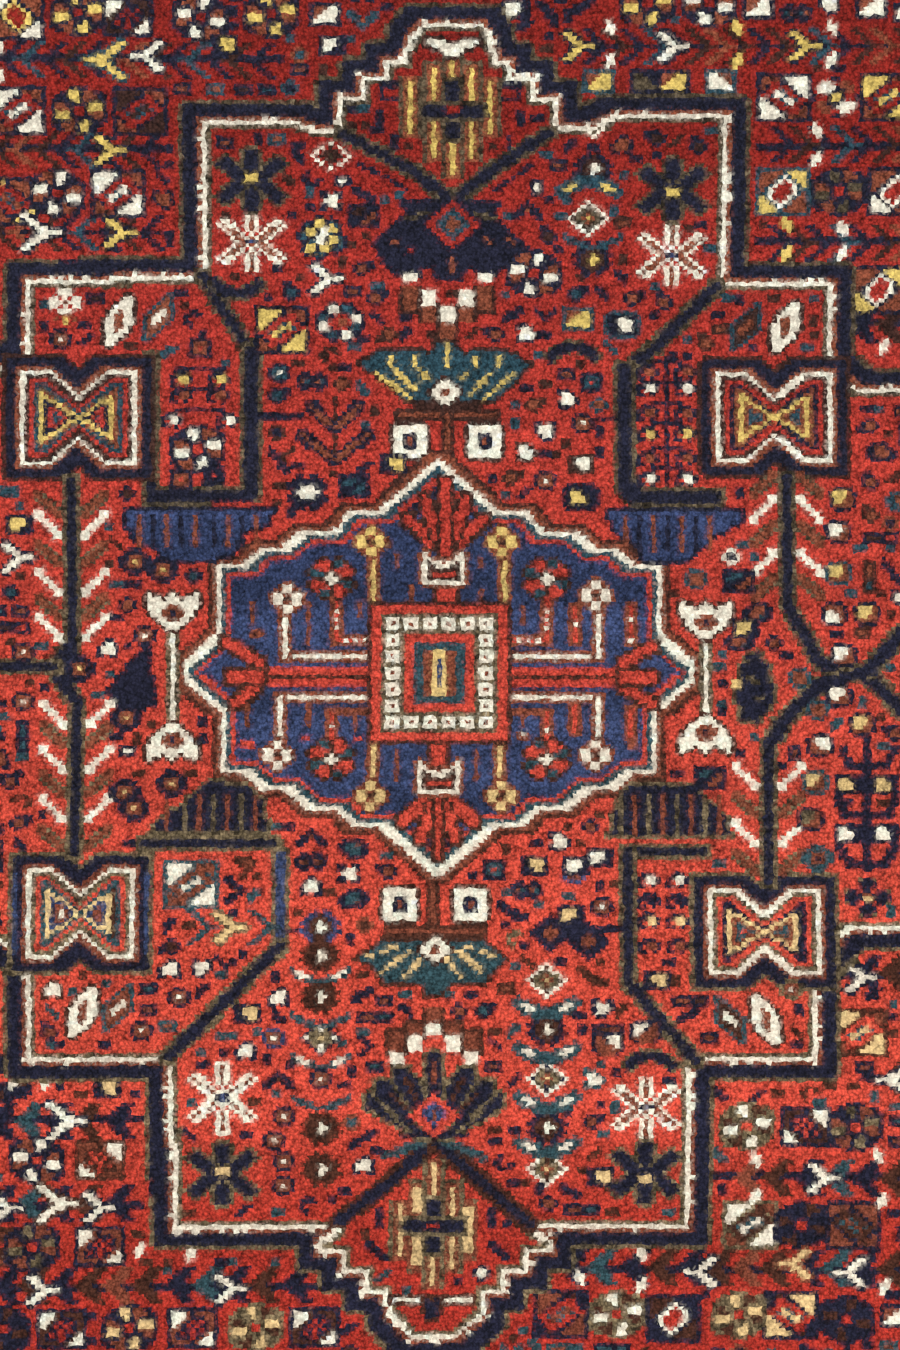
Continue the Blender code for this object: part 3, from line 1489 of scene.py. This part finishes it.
def waves(rows, place):
    """The sum of slow waves, each with its swing, wavelength and phase."""
    return sum(swing * np.sin(np.pi * 2 * place / wavelength + phase) for swing, wavelength, phase in rows)


def side_x(side, y):
    out = 1 if side == "right" else -1
    return out * PILE_WIDTH / 2 + waves(SIDE_WAVES[side], y)


def row_shift(x, y):
    towards_head = y / (PILE_LENGTH + 2 * PLAIN_END) + 0.5
    foot = waves(END_WAVES["foot"], x)
    head = waves(END_WAVES["head"], x)
    return foot + (head - foot) * towards_head


def on_rug(across, y):
    """X and Y of a place on the rug: across runs from 0 at the left edge to 1 at the right edge."""
    x = side_x("left", y) + (side_x("right", y) - side_x("left", y)) * across
    return x, y + row_shift(x, y)


print("pile:", round(PILE_WIDTH, 3), "x", round(PILE_LENGTH, 3), "m,", KNOTS_ACROSS * KNOT_ROWS, "knots")

# %% [markdown]
# ## Dyed wool
# Hand-dyed wool is never one flat colour. Each dye lot differs, which shows as level bands that weavers
# call abrash, and each tuft takes the dye a little differently. The red goes from a deep crimson at the
# head to a warm orange red at the foot. Its darkening towards the head is partly dye and partly painted
# shade, standing for light that falls off towards the head end. The blue of the medallion lies in lighter
# and darker bands.

# %% The yarns and their colours
HEAD_YARNS = {
    "n": (36, 37, 54), "b": (54, 66, 101), "i": (244, 234, 212), "o": (90, 78, 60),
    "t": (46, 76, 88), "g": (222, 192, 104), "u": (142, 76, 54), "k": (66, 42, 36),
}
FOOT_YARNS = {
    "n": (36, 36, 54), "b": (60, 72, 107), "i": (246, 232, 208), "o": (114, 98, 72),
    "t": (54, 82, 88), "g": (230, 194, 136), "u": (138, 72, 52), "k": (80, 46, 34),
}
# the red of each row: partly dye, and partly painted shade that darkens it towards the head
RED_ROWS_DYE_AND_SHADE = {  # how far along the rug from the foot, and the red there
    0.02: (182, 53, 41), 0.11: (191, 58, 44), 0.19: (222, 80, 61), 0.30: (226, 83, 63), 0.42: (216, 79, 61),
    0.58: (200, 68, 54), 0.74: (184, 58, 48), 0.88: (154, 42, 34), 0.98: (140, 38, 31),
}
# the red comes first in YARNS, and the red of each row, dye and painted shade together, fills it in below
head_colours = np.array([(0, 0, 0)] + [linear(*HEAD_YARNS[yarn]) for yarn in YARNS[1:]])
foot_colours = np.array([(0, 0, 0)] + [linear(*FOOT_YARNS[yarn]) for yarn in YARNS[1:]])
dice = np.random.default_rng(11)

CHANGE_AT = 0.52  # how far along the rug from the foot the yarns change from their head colours to their foot colours
CHANGE_SPEED = 14
along = (np.arange(KNOT_ROWS) + 0.5) / KNOT_ROWS
foot_share = 1 - 1 / (1 + np.exp((CHANGE_AT - along) * CHANGE_SPEED))
mixing = foot_share[:, None, None]
knot_colour = head_colours[chart] * (1 - mixing) + foot_colours[chart] * mixing

red_rows_dye_and_shade = np.array([linear(*red) for red in RED_ROWS_DYE_AND_SHADE.values()])
row_red = np.stack([np.interp(along, list(RED_ROWS_DYE_AND_SHADE), red_rows_dye_and_shade[:, part]) for part in range(3)], axis=1)
is_red = chart == YARNS.index("r")
knot_colour[is_red] = np.broadcast_to(row_red[:, None], knot_colour.shape)[is_red]

# dye lots, as bands a few rows deep, and the tufts' own differences
LOT_SWING = 0.05
BLUE_SWING = 0.30
ROW_DIFFERENCE = 0.025
row_lot = 1 + LOT_SWING * np.sin(along * 95 + 2) + LOT_SWING * np.sin(along * 41)
row_lot = row_lot + dice.normal(0, ROW_DIFFERENCE, KNOT_ROWS)
blue_lot = 1 + BLUE_SWING * np.sin(along * 120) * np.sin(along * 47 + 1)
is_blue = chart == YARNS.index("b")
knot_colour *= row_lot[:, None, None]
knot_colour *= np.where(is_blue, np.broadcast_to(blue_lot[:, None], chart.shape), 1)[..., None]
UNEVEN = {"o": 0.38, "b": 0.16, "n": 0.16}
PLAIN_UNEVEN = 0.09
unevenness = np.array([UNEVEN.get(yarn, PLAIN_UNEVEN) for yarn in YARNS])[chart]
knot_colour *= np.clip(1 + dice.normal(0, 1, chart.shape) * unevenness, 0.3, 2.0)[..., None]
knot_colour = np.clip(knot_colour, 0.003, 0.92)
print("mean colour:", knot_colour.mean(axis=(0, 1)).round(3))

# %% [markdown]
# ## The pile
# Each knot is a tuft of two yarn ends. More than seventy thousand tufts are too many to model one by
# one, so the pile is a grid with one facet a knot, and its corners are pushed about a little,
# because no two tufts stand alike. A skirt goes down from the rim to the woven ground, and one flat
# face closes it below. The chart's colours are stored on the facets. A second, softer copy of them is
# stored on the corners, and the material wavers between the two where tufts mingle.

# %% A grid of knots
def grid_points(rows_y, height):
    """Corner points for a grid with these rows and one column a knot."""
    across = np.arange(KNOTS_ACROSS + 1) / KNOTS_ACROSS
    y = np.broadcast_to(np.asarray(rows_y)[:, None], (len(rows_y), len(across)))
    x, y = on_rug(np.broadcast_to(across, y.shape), y)
    return np.stack([x, y, np.broadcast_to(height, x.shape)], axis=-1)


def grid_faces(rows, columns, facing_up):
    index = np.arange((rows + 1) * (columns + 1)).reshape(rows + 1, columns + 1)
    square = [index[:-1, :-1], index[:-1, 1:], index[1:, 1:], index[1:, :-1]]
    faces = np.stack([corner.ravel() for corner in square], axis=1)
    return faces if facing_up else faces[:, ::-1]


def ring_of(rows, columns):
    """The grid's outermost corners, anticlockwise seen from above."""
    index = np.arange((rows + 1) * (columns + 1)).reshape(rows + 1, columns + 1)
    return np.concatenate([index[0, :-1], index[:-1, -1], index[-1, :0:-1], index[:0:-1, 0]])


def new_piece(name, points, faces):
    mesh = bpy.data.meshes.new(name)
    mesh.from_pydata(points.tolist(), [], faces)
    thing = bpy.data.objects.new(name, mesh)
    bpy.context.scene.collection.objects.link(thing)
    return thing


def closed_sheet(name, points, rows, columns, facing_up, far_height):
    """A grid, a wall round it down (or up) to far_height, and one flat face over there."""
    ring = ring_of(rows, columns)
    count = len(points)
    wall_points = points[ring].copy()
    wall_points[:, 2] = far_height
    ahead = np.roll(np.arange(len(ring)), -1)
    wall = np.stack([ring, count + np.arange(len(ring)), count + ahead, ring[ahead]], axis=1)
    cap = count + np.arange(len(ring))
    faces = grid_faces(rows, columns, facing_up).tolist()
    faces += (wall if facing_up else wall[:, ::-1]).tolist()
    faces += [(cap[::-1] if facing_up else cap).tolist()]
    return new_piece(name, np.concatenate([points, wall_points]), faces)

# %% Colours and maps on the facets
def averaged_at_corners(values):
    """What four neighbouring knots average to at each corner of the grid."""
    padded = np.pad(values, ((1, 1), (1, 1), (0, 0)), mode="edge")
    return (padded[1:, 1:] + padded[:-1, 1:] + padded[1:, :-1] + padded[:-1, :-1]) / 4


def dress(thing, colours):
    """Stores the knots' colours, a map that counts knots, and a plain map for baking."""
    mesh = thing.data
    rows, columns = colours.shape[:2]
    squares = rows * columns
    loops = np.empty(len(mesh.loops), np.int32)
    mesh.loops.foreach_get("vertex_index", loops)
    points = np.empty(len(mesh.vertices) * 3, np.float32)
    mesh.vertices.foreach_get("co", points)
    points = points.reshape(-1, 3)

    spread = np.ones((len(loops), 4), np.float32)
    spread[: squares * 4, :3] = np.repeat(colours.reshape(-1, 3), 4, axis=0)
    corner_colours = np.ones((len(points), 4), np.float32)
    soft = averaged_at_corners(colours).reshape(-1, 3)
    ring = ring_of(rows, columns)
    corner_colours[: len(soft), :3] = soft
    corner_colours[len(soft):, :3] = soft[ring]
    spread[squares * 4:, :3] = corner_colours[loops[squares * 4:], :3]
    mesh.attributes.new("tuft", "FLOAT_COLOR", "CORNER").data.foreach_set("color", spread.ravel())
    mesh.attributes.new("mingled", "FLOAT_COLOR", "POINT").data.foreach_set("color", corner_colours.ravel())

    row, column = np.divmod(np.arange((rows + 1) * (columns + 1)), columns + 1)
    count = np.stack([column, row], axis=1).astype(np.float32)
    count = np.concatenate([count, count[ring]])
    mesh.uv_layers.new(name="knots").data.foreach_set("uv", count[loops].ravel())
    low, high = points[:, :2].min(axis=0), points[:, :2].max(axis=0)
    flat = (points[:, :2] - low) / (high - low)
    mesh.uv_layers.new(name="OFBake").data.foreach_set("uv", flat[loops].astype(np.float32).ravel())


PILE_RIM_ROUND = 0.0016
BASE_LIFT = 0.0001
TUFT_RISE = 0.0003  # the highest tufts reach the pile's top
TUFT_SINK = 0.0006
TUFT_UNEVEN = 0.00022
TUFT_STRAY = 0.16  # sideways, as a share of a knot
row_places = (np.arange(KNOT_ROWS + 1) - KNOT_ROWS / 2) * KNOT_ALONG
pile_points = grid_points(row_places, PILE_TOP - TUFT_RISE)
inner = pile_points[1:-1, 1:-1]
inner[..., 0] += dice.normal(0, TUFT_STRAY * KNOT_ACROSS, inner.shape[:2])
inner[..., 1] += dice.normal(0, TUFT_STRAY * KNOT_ALONG, inner.shape[:2])
inner[..., 2] += np.clip(dice.normal(0, TUFT_UNEVEN, inner.shape[:2]), -TUFT_SINK, TUFT_RISE)
for rim in (pile_points[0], pile_points[-1], pile_points[:, 0], pile_points[:, -1]):
    rim[..., 2] = PILE_TOP - PILE_RIM_ROUND

pile_base = FOUNDATION_THICK + BASE_LIFT
pile = closed_sheet("pile", pile_points.reshape(-1, 3), KNOT_ROWS, KNOTS_ACROSS, True, pile_base)
dress(pile, knot_colour)
print("pile facets:", len(pile.data.polygons))

# %% [markdown]
# ## Wool pile
# Each knot shows two cut yarn ends, soft round dots with painted shade where their neighbours crowd them,
# less on pale yarns. A cell texture on the map that counts knots gives them, a little unevenly, and each
# end gets its own lightness. A mottle in small patches is partly the wool's uneven tone and partly painted
# flecks of shade between the rows. Some ends also take the mingled colour, which frays the borders between
# colours as real tufts do. Wool is matt, with a faint sheen.

# %% The pile's finish
wool, shader, wire = new_material("wool_pile", 0.88)
spot = wire.out(wire.node("TexCoord"), "Object")
counted = wire.out(wire.node("UVMap", {"uv_map": "knots"}), "UV")
ends = wire.out(wire.node("VectorMath", {"operation": "MULTIPLY"}, i0=counted, i1=(1.7, 1.4, 1.0)))
cells = wire.node("TexVoronoi", {"feature": "F1"}, Vector=ends, Scale=1.0, Randomness=0.8)
middle = wire.out(cells, "Distance")
own = wire.node("SeparateColor", None, Color=wire.out(cells, "Color"))
chance = wire.out(own, "Red")
lift = wire.out(own, "Green")

fibres = noise(wire, spot, 2600.0, 2.0, 0.7)
tuft = wire.out(wire.node("Attribute", {"attribute_name": "tuft"}), "Color")
mingled = wire.out(wire.node("Attribute", {"attribute_name": "mingled"}), "Color")
colour = chance.smooth(0.35, 0.95, 0.0, 0.85).mixed(tuft, mingled)
pale = wire.out(wire.node("SeparateColor", None, Color=tuft), "Green").smooth(0.3, 0.6)
# painted shade: the hollows between the yarn ends are darkened, less on pale yarns
hollow_shade = middle.smooth(0.25, 0.75) * (0.50 - pale * 0.26)
# partly the wool's uneven tone and partly painted flecks of shade between the rows
mottle_and_shade_flecks = noise(wire, spot, 450.0, 2.0, 0.6).smooth(0.3, 0.7, -0.18, 0.20)
cloud = noise(wire, spot, 90.0, 2.0, 0.5).smooth(0.3, 0.7, -0.07, 0.07)
shade = 0.86 + lift * 0.26 - hollow_shade + mottle_and_shade_flecks * (1 - pale * 0.6) + cloud
shade = shade - fibres.smooth(0.35, 0.7, 0.0, 0.16)
coat(wire, shader, colour, shade)
wire.tree.links.new(fibres.smooth(0.3, 0.7, 0.82, 0.96).socket, shader.inputs["Roughness"])
relief(wire, shader, (1 - hollow_shade) * 0.7 + lift * 0.3 + fibres * 0.3, 0.0006, 0.6)
shader.inputs["Sheen Weight"].default_value = 0.04
shader.inputs["Sheen Roughness"].default_value = 0.4
shader.inputs["Specular IOR Level"].default_value = 0.1
pile.data.materials.append(wool)
print("pile finish:", len(wire.tree.nodes), "nodes")

# %% [markdown]
# ## The woven ground and the back
# The back of a knotted rug shows the same pattern mirrored, as small flat nodes between the wefts. The
# woven ground runs on for a centimetre at each end as a plain band without knots. It is a thin slab,
# flat underneath because it lies on the floor, and its upper side shows only at the two plain bands.

# %% The slab with the pattern on its underside
BAND_ROWS = 4
WEFT_PITCH = 0.0013
WARP_PITCH = 0.0030
band = np.arange(BAND_ROWS, 0, -1) / BAND_ROWS * PLAIN_END
back_rows = np.concatenate([row_places[0] - band, row_places, row_places[-1] + band[::-1]])
back_points = grid_points(back_rows, 0.0).reshape(-1, 3)
back = closed_sheet("woven_back", back_points, len(back_rows) - 1, KNOTS_ACROSS, False, FOUNDATION_THICK)
ground_wool = np.array(linear(206, 188, 156))
back_colour = np.empty((len(back_rows) - 1, KNOTS_ACROSS, 3))
back_colour[:] = ground_wool * (1 + dice.normal(0, 0.04, back_colour.shape[:2]))[..., None]
back_colour[BAND_ROWS:-BAND_ROWS] = knot_colour * 0.9
dress(back, back_colour)

back_wool, shader, wire = new_material("woven_back", 0.9)
counted = wire.out(wire.node("UVMap", {"uv_map": "knots"}), "UV")
split = wire.node("SeparateXYZ", None, Vector=counted)
spot = wire.out(wire.node("TexCoord"), "Object")
nodes_across = wire.sum("PINGPONG", wire.out(split, "X") * 2.0, 0.5)
nodes_along = wire.sum("PINGPONG", wire.out(split, "Y"), 0.5)
bead = wire.sum("MINIMUM", nodes_across.smooth(0.05, 0.3), nodes_along.smooth(0.04, 0.22))
place = wire.node("SeparateXYZ", None, Vector=spot)
weft = wire.sum("SINE", wire.out(place, "Y") * (np.pi * 2 / WEFT_PITCH))
warp = wire.sum("SINE", wire.out(place, "X") * (np.pi * 2 / WARP_PITCH))
weave = (weft * warp).smooth(-0.9, 0.9)
is_top = wire.out(place, "Z").smooth(0.0012, 0.0020)
fibres = noise(wire, spot, 2000.0)
surface = wire.out(wire.node("Mix", {"data_type": "FLOAT"}, i0=is_top, i2=bead, i3=weave), 0)
colour = wire.out(wire.node("Attribute", {"attribute_name": "tuft"}), "Color")
colour = is_top.mixed(colour, (*ground_wool.tolist(), 1))
# painted shade: the gaps between the knot nodes underneath, and between the threads of the plain bands on
# top, are darkened to half
shade = surface.smooth(0.0, 1.0, 0.5, 1.0) - fibres.smooth(0.35, 0.7, 0.0, 0.2)
coat(wire, shader, colour, shade)
relief(wire, shader, surface + fibres * 0.2, 0.0005)
back.data.materials.append(back_wool)
print("back facets:", len(back.data.polygons))

# %% [markdown]
# ## The overcast sides
# Each side is bound by wool wound round the outermost warps, turn after turn. A tube along the edge
# whose rings swell and narrow once a turn gives the turns, and the rings lean a little because the yarn
# climbs as it is wound.

# %% One wound cord down each side
GAP = 0.0003
SELVEDGE_RADIUS = 0.0034
TURN_PITCH = 0.0019
RINGS_A_TURN = 3
CORD_SIDES = 12
TURN_SWELLS = (0.90, 1.0, 0.98)
TURN_UNEVEN = 0.015
END_TAPER = 0.55
TURN_LEAN = 0.0004


def wound_cord(side):
    out = 1 if side == "right" else -1
    rings = int(PILE_LENGTH / TURN_PITCH) * RINGS_A_TURN + 1
    run = np.linspace(-PILE_LENGTH / 2, PILE_LENGTH / 2, rings)
    turn = np.arange(CORD_SIDES) / CORD_SIDES * np.pi * 2
    swell = np.array(TURN_SWELLS)[np.arange(rings) % RINGS_A_TURN]
    swell = swell * (1 + dice.normal(0, TURN_UNEVEN, rings))
    swell[[0, -1]] = END_TAPER
    radius = (SELVEDGE_RADIUS * swell)[:, None]
    x = side_x(side, run)[:, None] + out * (GAP + SELVEDGE_RADIUS) + radius * np.cos(turn)
    z = SELVEDGE_RADIUS + radius * np.sin(turn)
    y = run[:, None] + row_shift(side_x(side, run), run)[:, None] + TURN_LEAN * np.cos(turn)
    points = np.stack([x, y, np.maximum(z, 0)], axis=-1).reshape(-1, 3)
    ring = np.arange(CORD_SIDES)
    start = (np.arange(rings - 1) * CORD_SIDES)[:, None]
    ahead = np.roll(ring, -1)
    next_ring = start + CORD_SIDES
    walls = np.stack([start + ring, next_ring + ring, next_ring + ahead, start + ahead], axis=-1)
    faces = walls.reshape(-1, 4).tolist() + [ring.tolist(), (ring[::-1] + (rings - 1) * CORD_SIDES).tolist()]
    return new_piece("selvedge_cord_" + side, points, faces)


def pick(thing):
    bpy.ops.object.select_all(action="DESELECT")
    thing.select_set(True)
    bpy.context.view_layer.objects.active = thing


def make_smooth(thing, angle=1.2):
    pick(thing)
    bpy.ops.object.shade_smooth_by_angle(angle=angle)


def face_out(thing):
    """Turns every face of a closed piece outwards."""
    pick(thing)
    bpy.ops.object.mode_set(mode="EDIT")
    bpy.ops.mesh.select_all(action="SELECT")
    bpy.ops.mesh.normals_make_consistent(inside=False)
    bpy.ops.object.mode_set(mode="OBJECT")


overcast, shader, wire = new_material("selvedge_wool", 0.9)
spot = wire.out(wire.node("TexCoord"), "Object")
place = wire.node("SeparateXYZ", None, Vector=spot)
fibres = noise(wire, spot, 1500.0, 3.0, 0.7)
lots = noise(wire, spot, 14.0)
strand = wire.sum("SINE", wire.out(place, "Y") * (np.pi * 2 / TURN_PITCH) + wire.out(place, "Z") * 900.0)
colour = lots.mixed((*linear(66, 44, 38), 1), (*linear(92, 64, 52), 1))
# painted shade: the grooves between the wound turns are darkened to about half
shade = strand.smooth(-1.0, 0.6, 0.55, 1.0) - fibres.smooth(0.3, 0.7, 0.0, 0.25)
coat(wire, shader, colour, shade)
relief(wire, shader, strand * 0.5 + fibres * 0.5, 0.0005)
cords = [wound_cord(side) for side in SIDE_WAVES]
for cord in cords:
    face_out(cord)
    make_smooth(cord, 1.4)
    cord.data.materials.append(overcast)
    print(cord.name, len(cord.data.polygons), "faces")

# %% [markdown]
# ## The tassels
# The fringe is the warps themselves, tied in bunches so that the weave can't slide off them. One
# tassel is made: a warp is a thin ring drawn out in steps, six of them lie side by side, and a
# knot of two fat turns grips them. It is then copied along each end, each copy a little longer, shorter
# or more bent, as the frame's own comb of tassels is.

# %% One warp end, drawn out step by step
TASSELS = 52
TASSEL_LENGTH = 0.0290
WARP_RADIUS = 0.00065
WARP_SPACING = 0.00105
WARPS = 6
KNOT_HEIGHT = 0.0019


def warp_end(number, name):
    """A loose warp: it starts at the weave, runs in to the knot, and wanders out again."""
    start = (number - (WARPS - 1) / 2) * WARP_SPACING
    knotted = ((start, 0.0), (start, 0.0022), (start * 0.62, 0.0050), (start * 0.55, 0.0085))
    loose = ((start * 0.7, 0.0120), (start * 0.85 + 0.0003, 0.0160), (start * 0.95 - 0.0003, 0.0200),
             (start + 0.0003, 0.0245), (start * 1.02, TASSEL_LENGTH - 0.0007 * (number % 3)))
    stops = knotted + loose
    bpy.ops.object.select_all(action="DESELECT")
    rise = WARP_RADIUS + 0.00035 * (number % 2)
    bpy.ops.mesh.primitive_circle_add(
        vertices=6, radius=WARP_RADIUS, fill_type="NGON",
        location=(start, 0, rise), rotation=(np.pi / 2, 0, 0))
    warp = bpy.context.object
    warp.name = name
    bpy.ops.object.transform_apply(location=True, rotation=True, scale=True)
    bpy.ops.object.mode_set(mode="EDIT")
    bpy.ops.mesh.select_all(action="SELECT")
    for (x0, y0), (x1, y1) in zip(stops, stops[1:]):
        bpy.ops.mesh.extrude_region_move(TRANSFORM_OT_translate={"value": (x1 - x0, y1 - y0, 0)})
    bpy.ops.transform.resize(value=(0.6, 0.6, 0.6))
    bpy.ops.object.mode_set(mode="OBJECT")
    return warp


def knot_turn(name, y, tilt):
    """One fat turn of the knot that grips the warps."""
    bpy.ops.object.select_all(action="DESELECT")
    bpy.ops.mesh.primitive_torus_add(
        major_segments=14, minor_segments=6, major_radius=0.0020, minor_radius=0.00085,
        location=(0, y, KNOT_HEIGHT), rotation=(np.pi / 2, 0, tilt))
    turn = bpy.context.object
    turn.name = name
    bpy.ops.object.transform_apply(location=True, rotation=True, scale=True)
    bpy.ops.object.mode_set(mode="EDIT")
    bpy.ops.mesh.select_all(action="SELECT")
    bpy.ops.transform.resize(value=(1.0, 1.0, 0.62), center_override=(0, y, KNOT_HEIGHT))
    bpy.ops.object.mode_set(mode="OBJECT")
    return turn


parts = [warp_end(number, f"warp_{number}") for number in range(WARPS)]
parts += [knot_turn("turn_a", 0.0056, 0.22), knot_turn("turn_b", 0.0069, -0.26)]
for part in parts:
    face_out(part)
bpy.ops.object.select_all(action="DESELECT")
for part in parts:
    part.select_set(True)
bpy.context.view_layer.objects.active = parts[0]
bpy.ops.object.join()
tassel = bpy.context.object
tassel.name = "tassel"
print("one tassel:", len(tassel.data.polygons), "faces")

# %% The comb of tassels at each end
tassel_points = np.empty(len(tassel.data.vertices) * 3)
tassel.data.vertices.foreach_get("co", tassel_points)
tassel_points = tassel_points.reshape(-1, 3)
tassel_faces = [list(face.vertices) for face in tassel.data.polygons]
TASSEL_OVERLAP = 0.0006  # the warps come out from inside the plain band
LENGTH_SWING = 0.0025
LEAN_SWING = 0.0016


def fringe(end):
    out_way = 1 if end == "head" else -1
    edge_y = out_way * (PILE_LENGTH / 2 + PLAIN_END)
    points, faces = [], []
    for number in range(TASSELS):
        long = (TASSEL_LENGTH + LENGTH_SWING * np.sin(2.3 * number + 0.7)) / TASSEL_LENGTH
        lean = LEAN_SWING * np.sin(1.7 * number)
        local = tassel_points.copy()
        out = local[:, 1] / TASSEL_LENGTH
        loose = np.clip((local[:, 1] - 0.009) / 0.02, 0, 1)
        sway = dice.normal(0, 0.0006) * np.sin(loose * 5) + dice.normal(0, 0.0008) * loose
        sideways = local[:, 0] * (1 + dice.normal(0, 0.1) * loose) + lean * out + sway
        across = (number + 0.5) / TASSELS + sideways / PILE_WIDTH
        x, y = on_rug(across, np.full(len(across), edge_y))
        y = y + out_way * (local[:, 1] * long - TASSEL_OVERLAP)
        faces += [[corner + len(tassel_points) * number for corner in face] for face in tassel_faces]
        points.append(np.stack([x, y, np.maximum(local[:, 2], 0)], axis=-1))
    thing = new_piece("fringe_warps_" + end, np.concatenate(points), faces)
    face_out(thing)
    make_smooth(thing)
    return thing


warp_wool, shader, wire = new_material("warp_wool", 0.9)
spot = wire.out(wire.node("TexCoord"), "Object")
place = wire.node("SeparateXYZ", None, Vector=spot)
ply = wire.sum("SINE", wire.out(place, "Y") * 4200.0 + wire.out(place, "X") * 3000.0)
fibres = noise(wire, spot, 2200.0, 3.0, 0.7)
dirt = noise(wire, spot, 60.0)
colour = dirt.mixed((*linear(232, 220, 192), 1), (*linear(204, 186, 152), 1))
# painted shade: the grooves between the plies are darkened to about two thirds
shade = ply.smooth(-1.0, 0.5, 0.68, 1.0) - fibres.smooth(0.3, 0.7, 0.0, 0.2)
coat(wire, shader, colour, shade)
relief(wire, shader, ply * 0.5 + fibres * 0.4, 0.0003)
fringes = {end: fringe(end) for end in END_WAVES}
for thing in fringes.values():
    thing.data.materials.append(warp_wool)
    print(thing.name, len(thing.data.polygons), "faces")
bpy.data.objects.remove(tassel)

# %% [markdown]
# ## Handing over to the frame
# Every piece rides on the rug's one body and stands for the plain solid that it replaces.

# %% What stands for what
for piece, node, slot in (
    (pile, "rug", "wool_pile"),
    (back, "rug", "warp_wool"),
    (cords[0], "selvedge_left", "selvedge_wool"),
    (cords[1], "selvedge_right", "selvedge_wool"),
    (fringes["foot"], "fringe_foot", "warp_wool"),
    (fringes["head"], "fringe_head", "warp_wool"),
):
    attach(piece, "root")
    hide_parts(node)
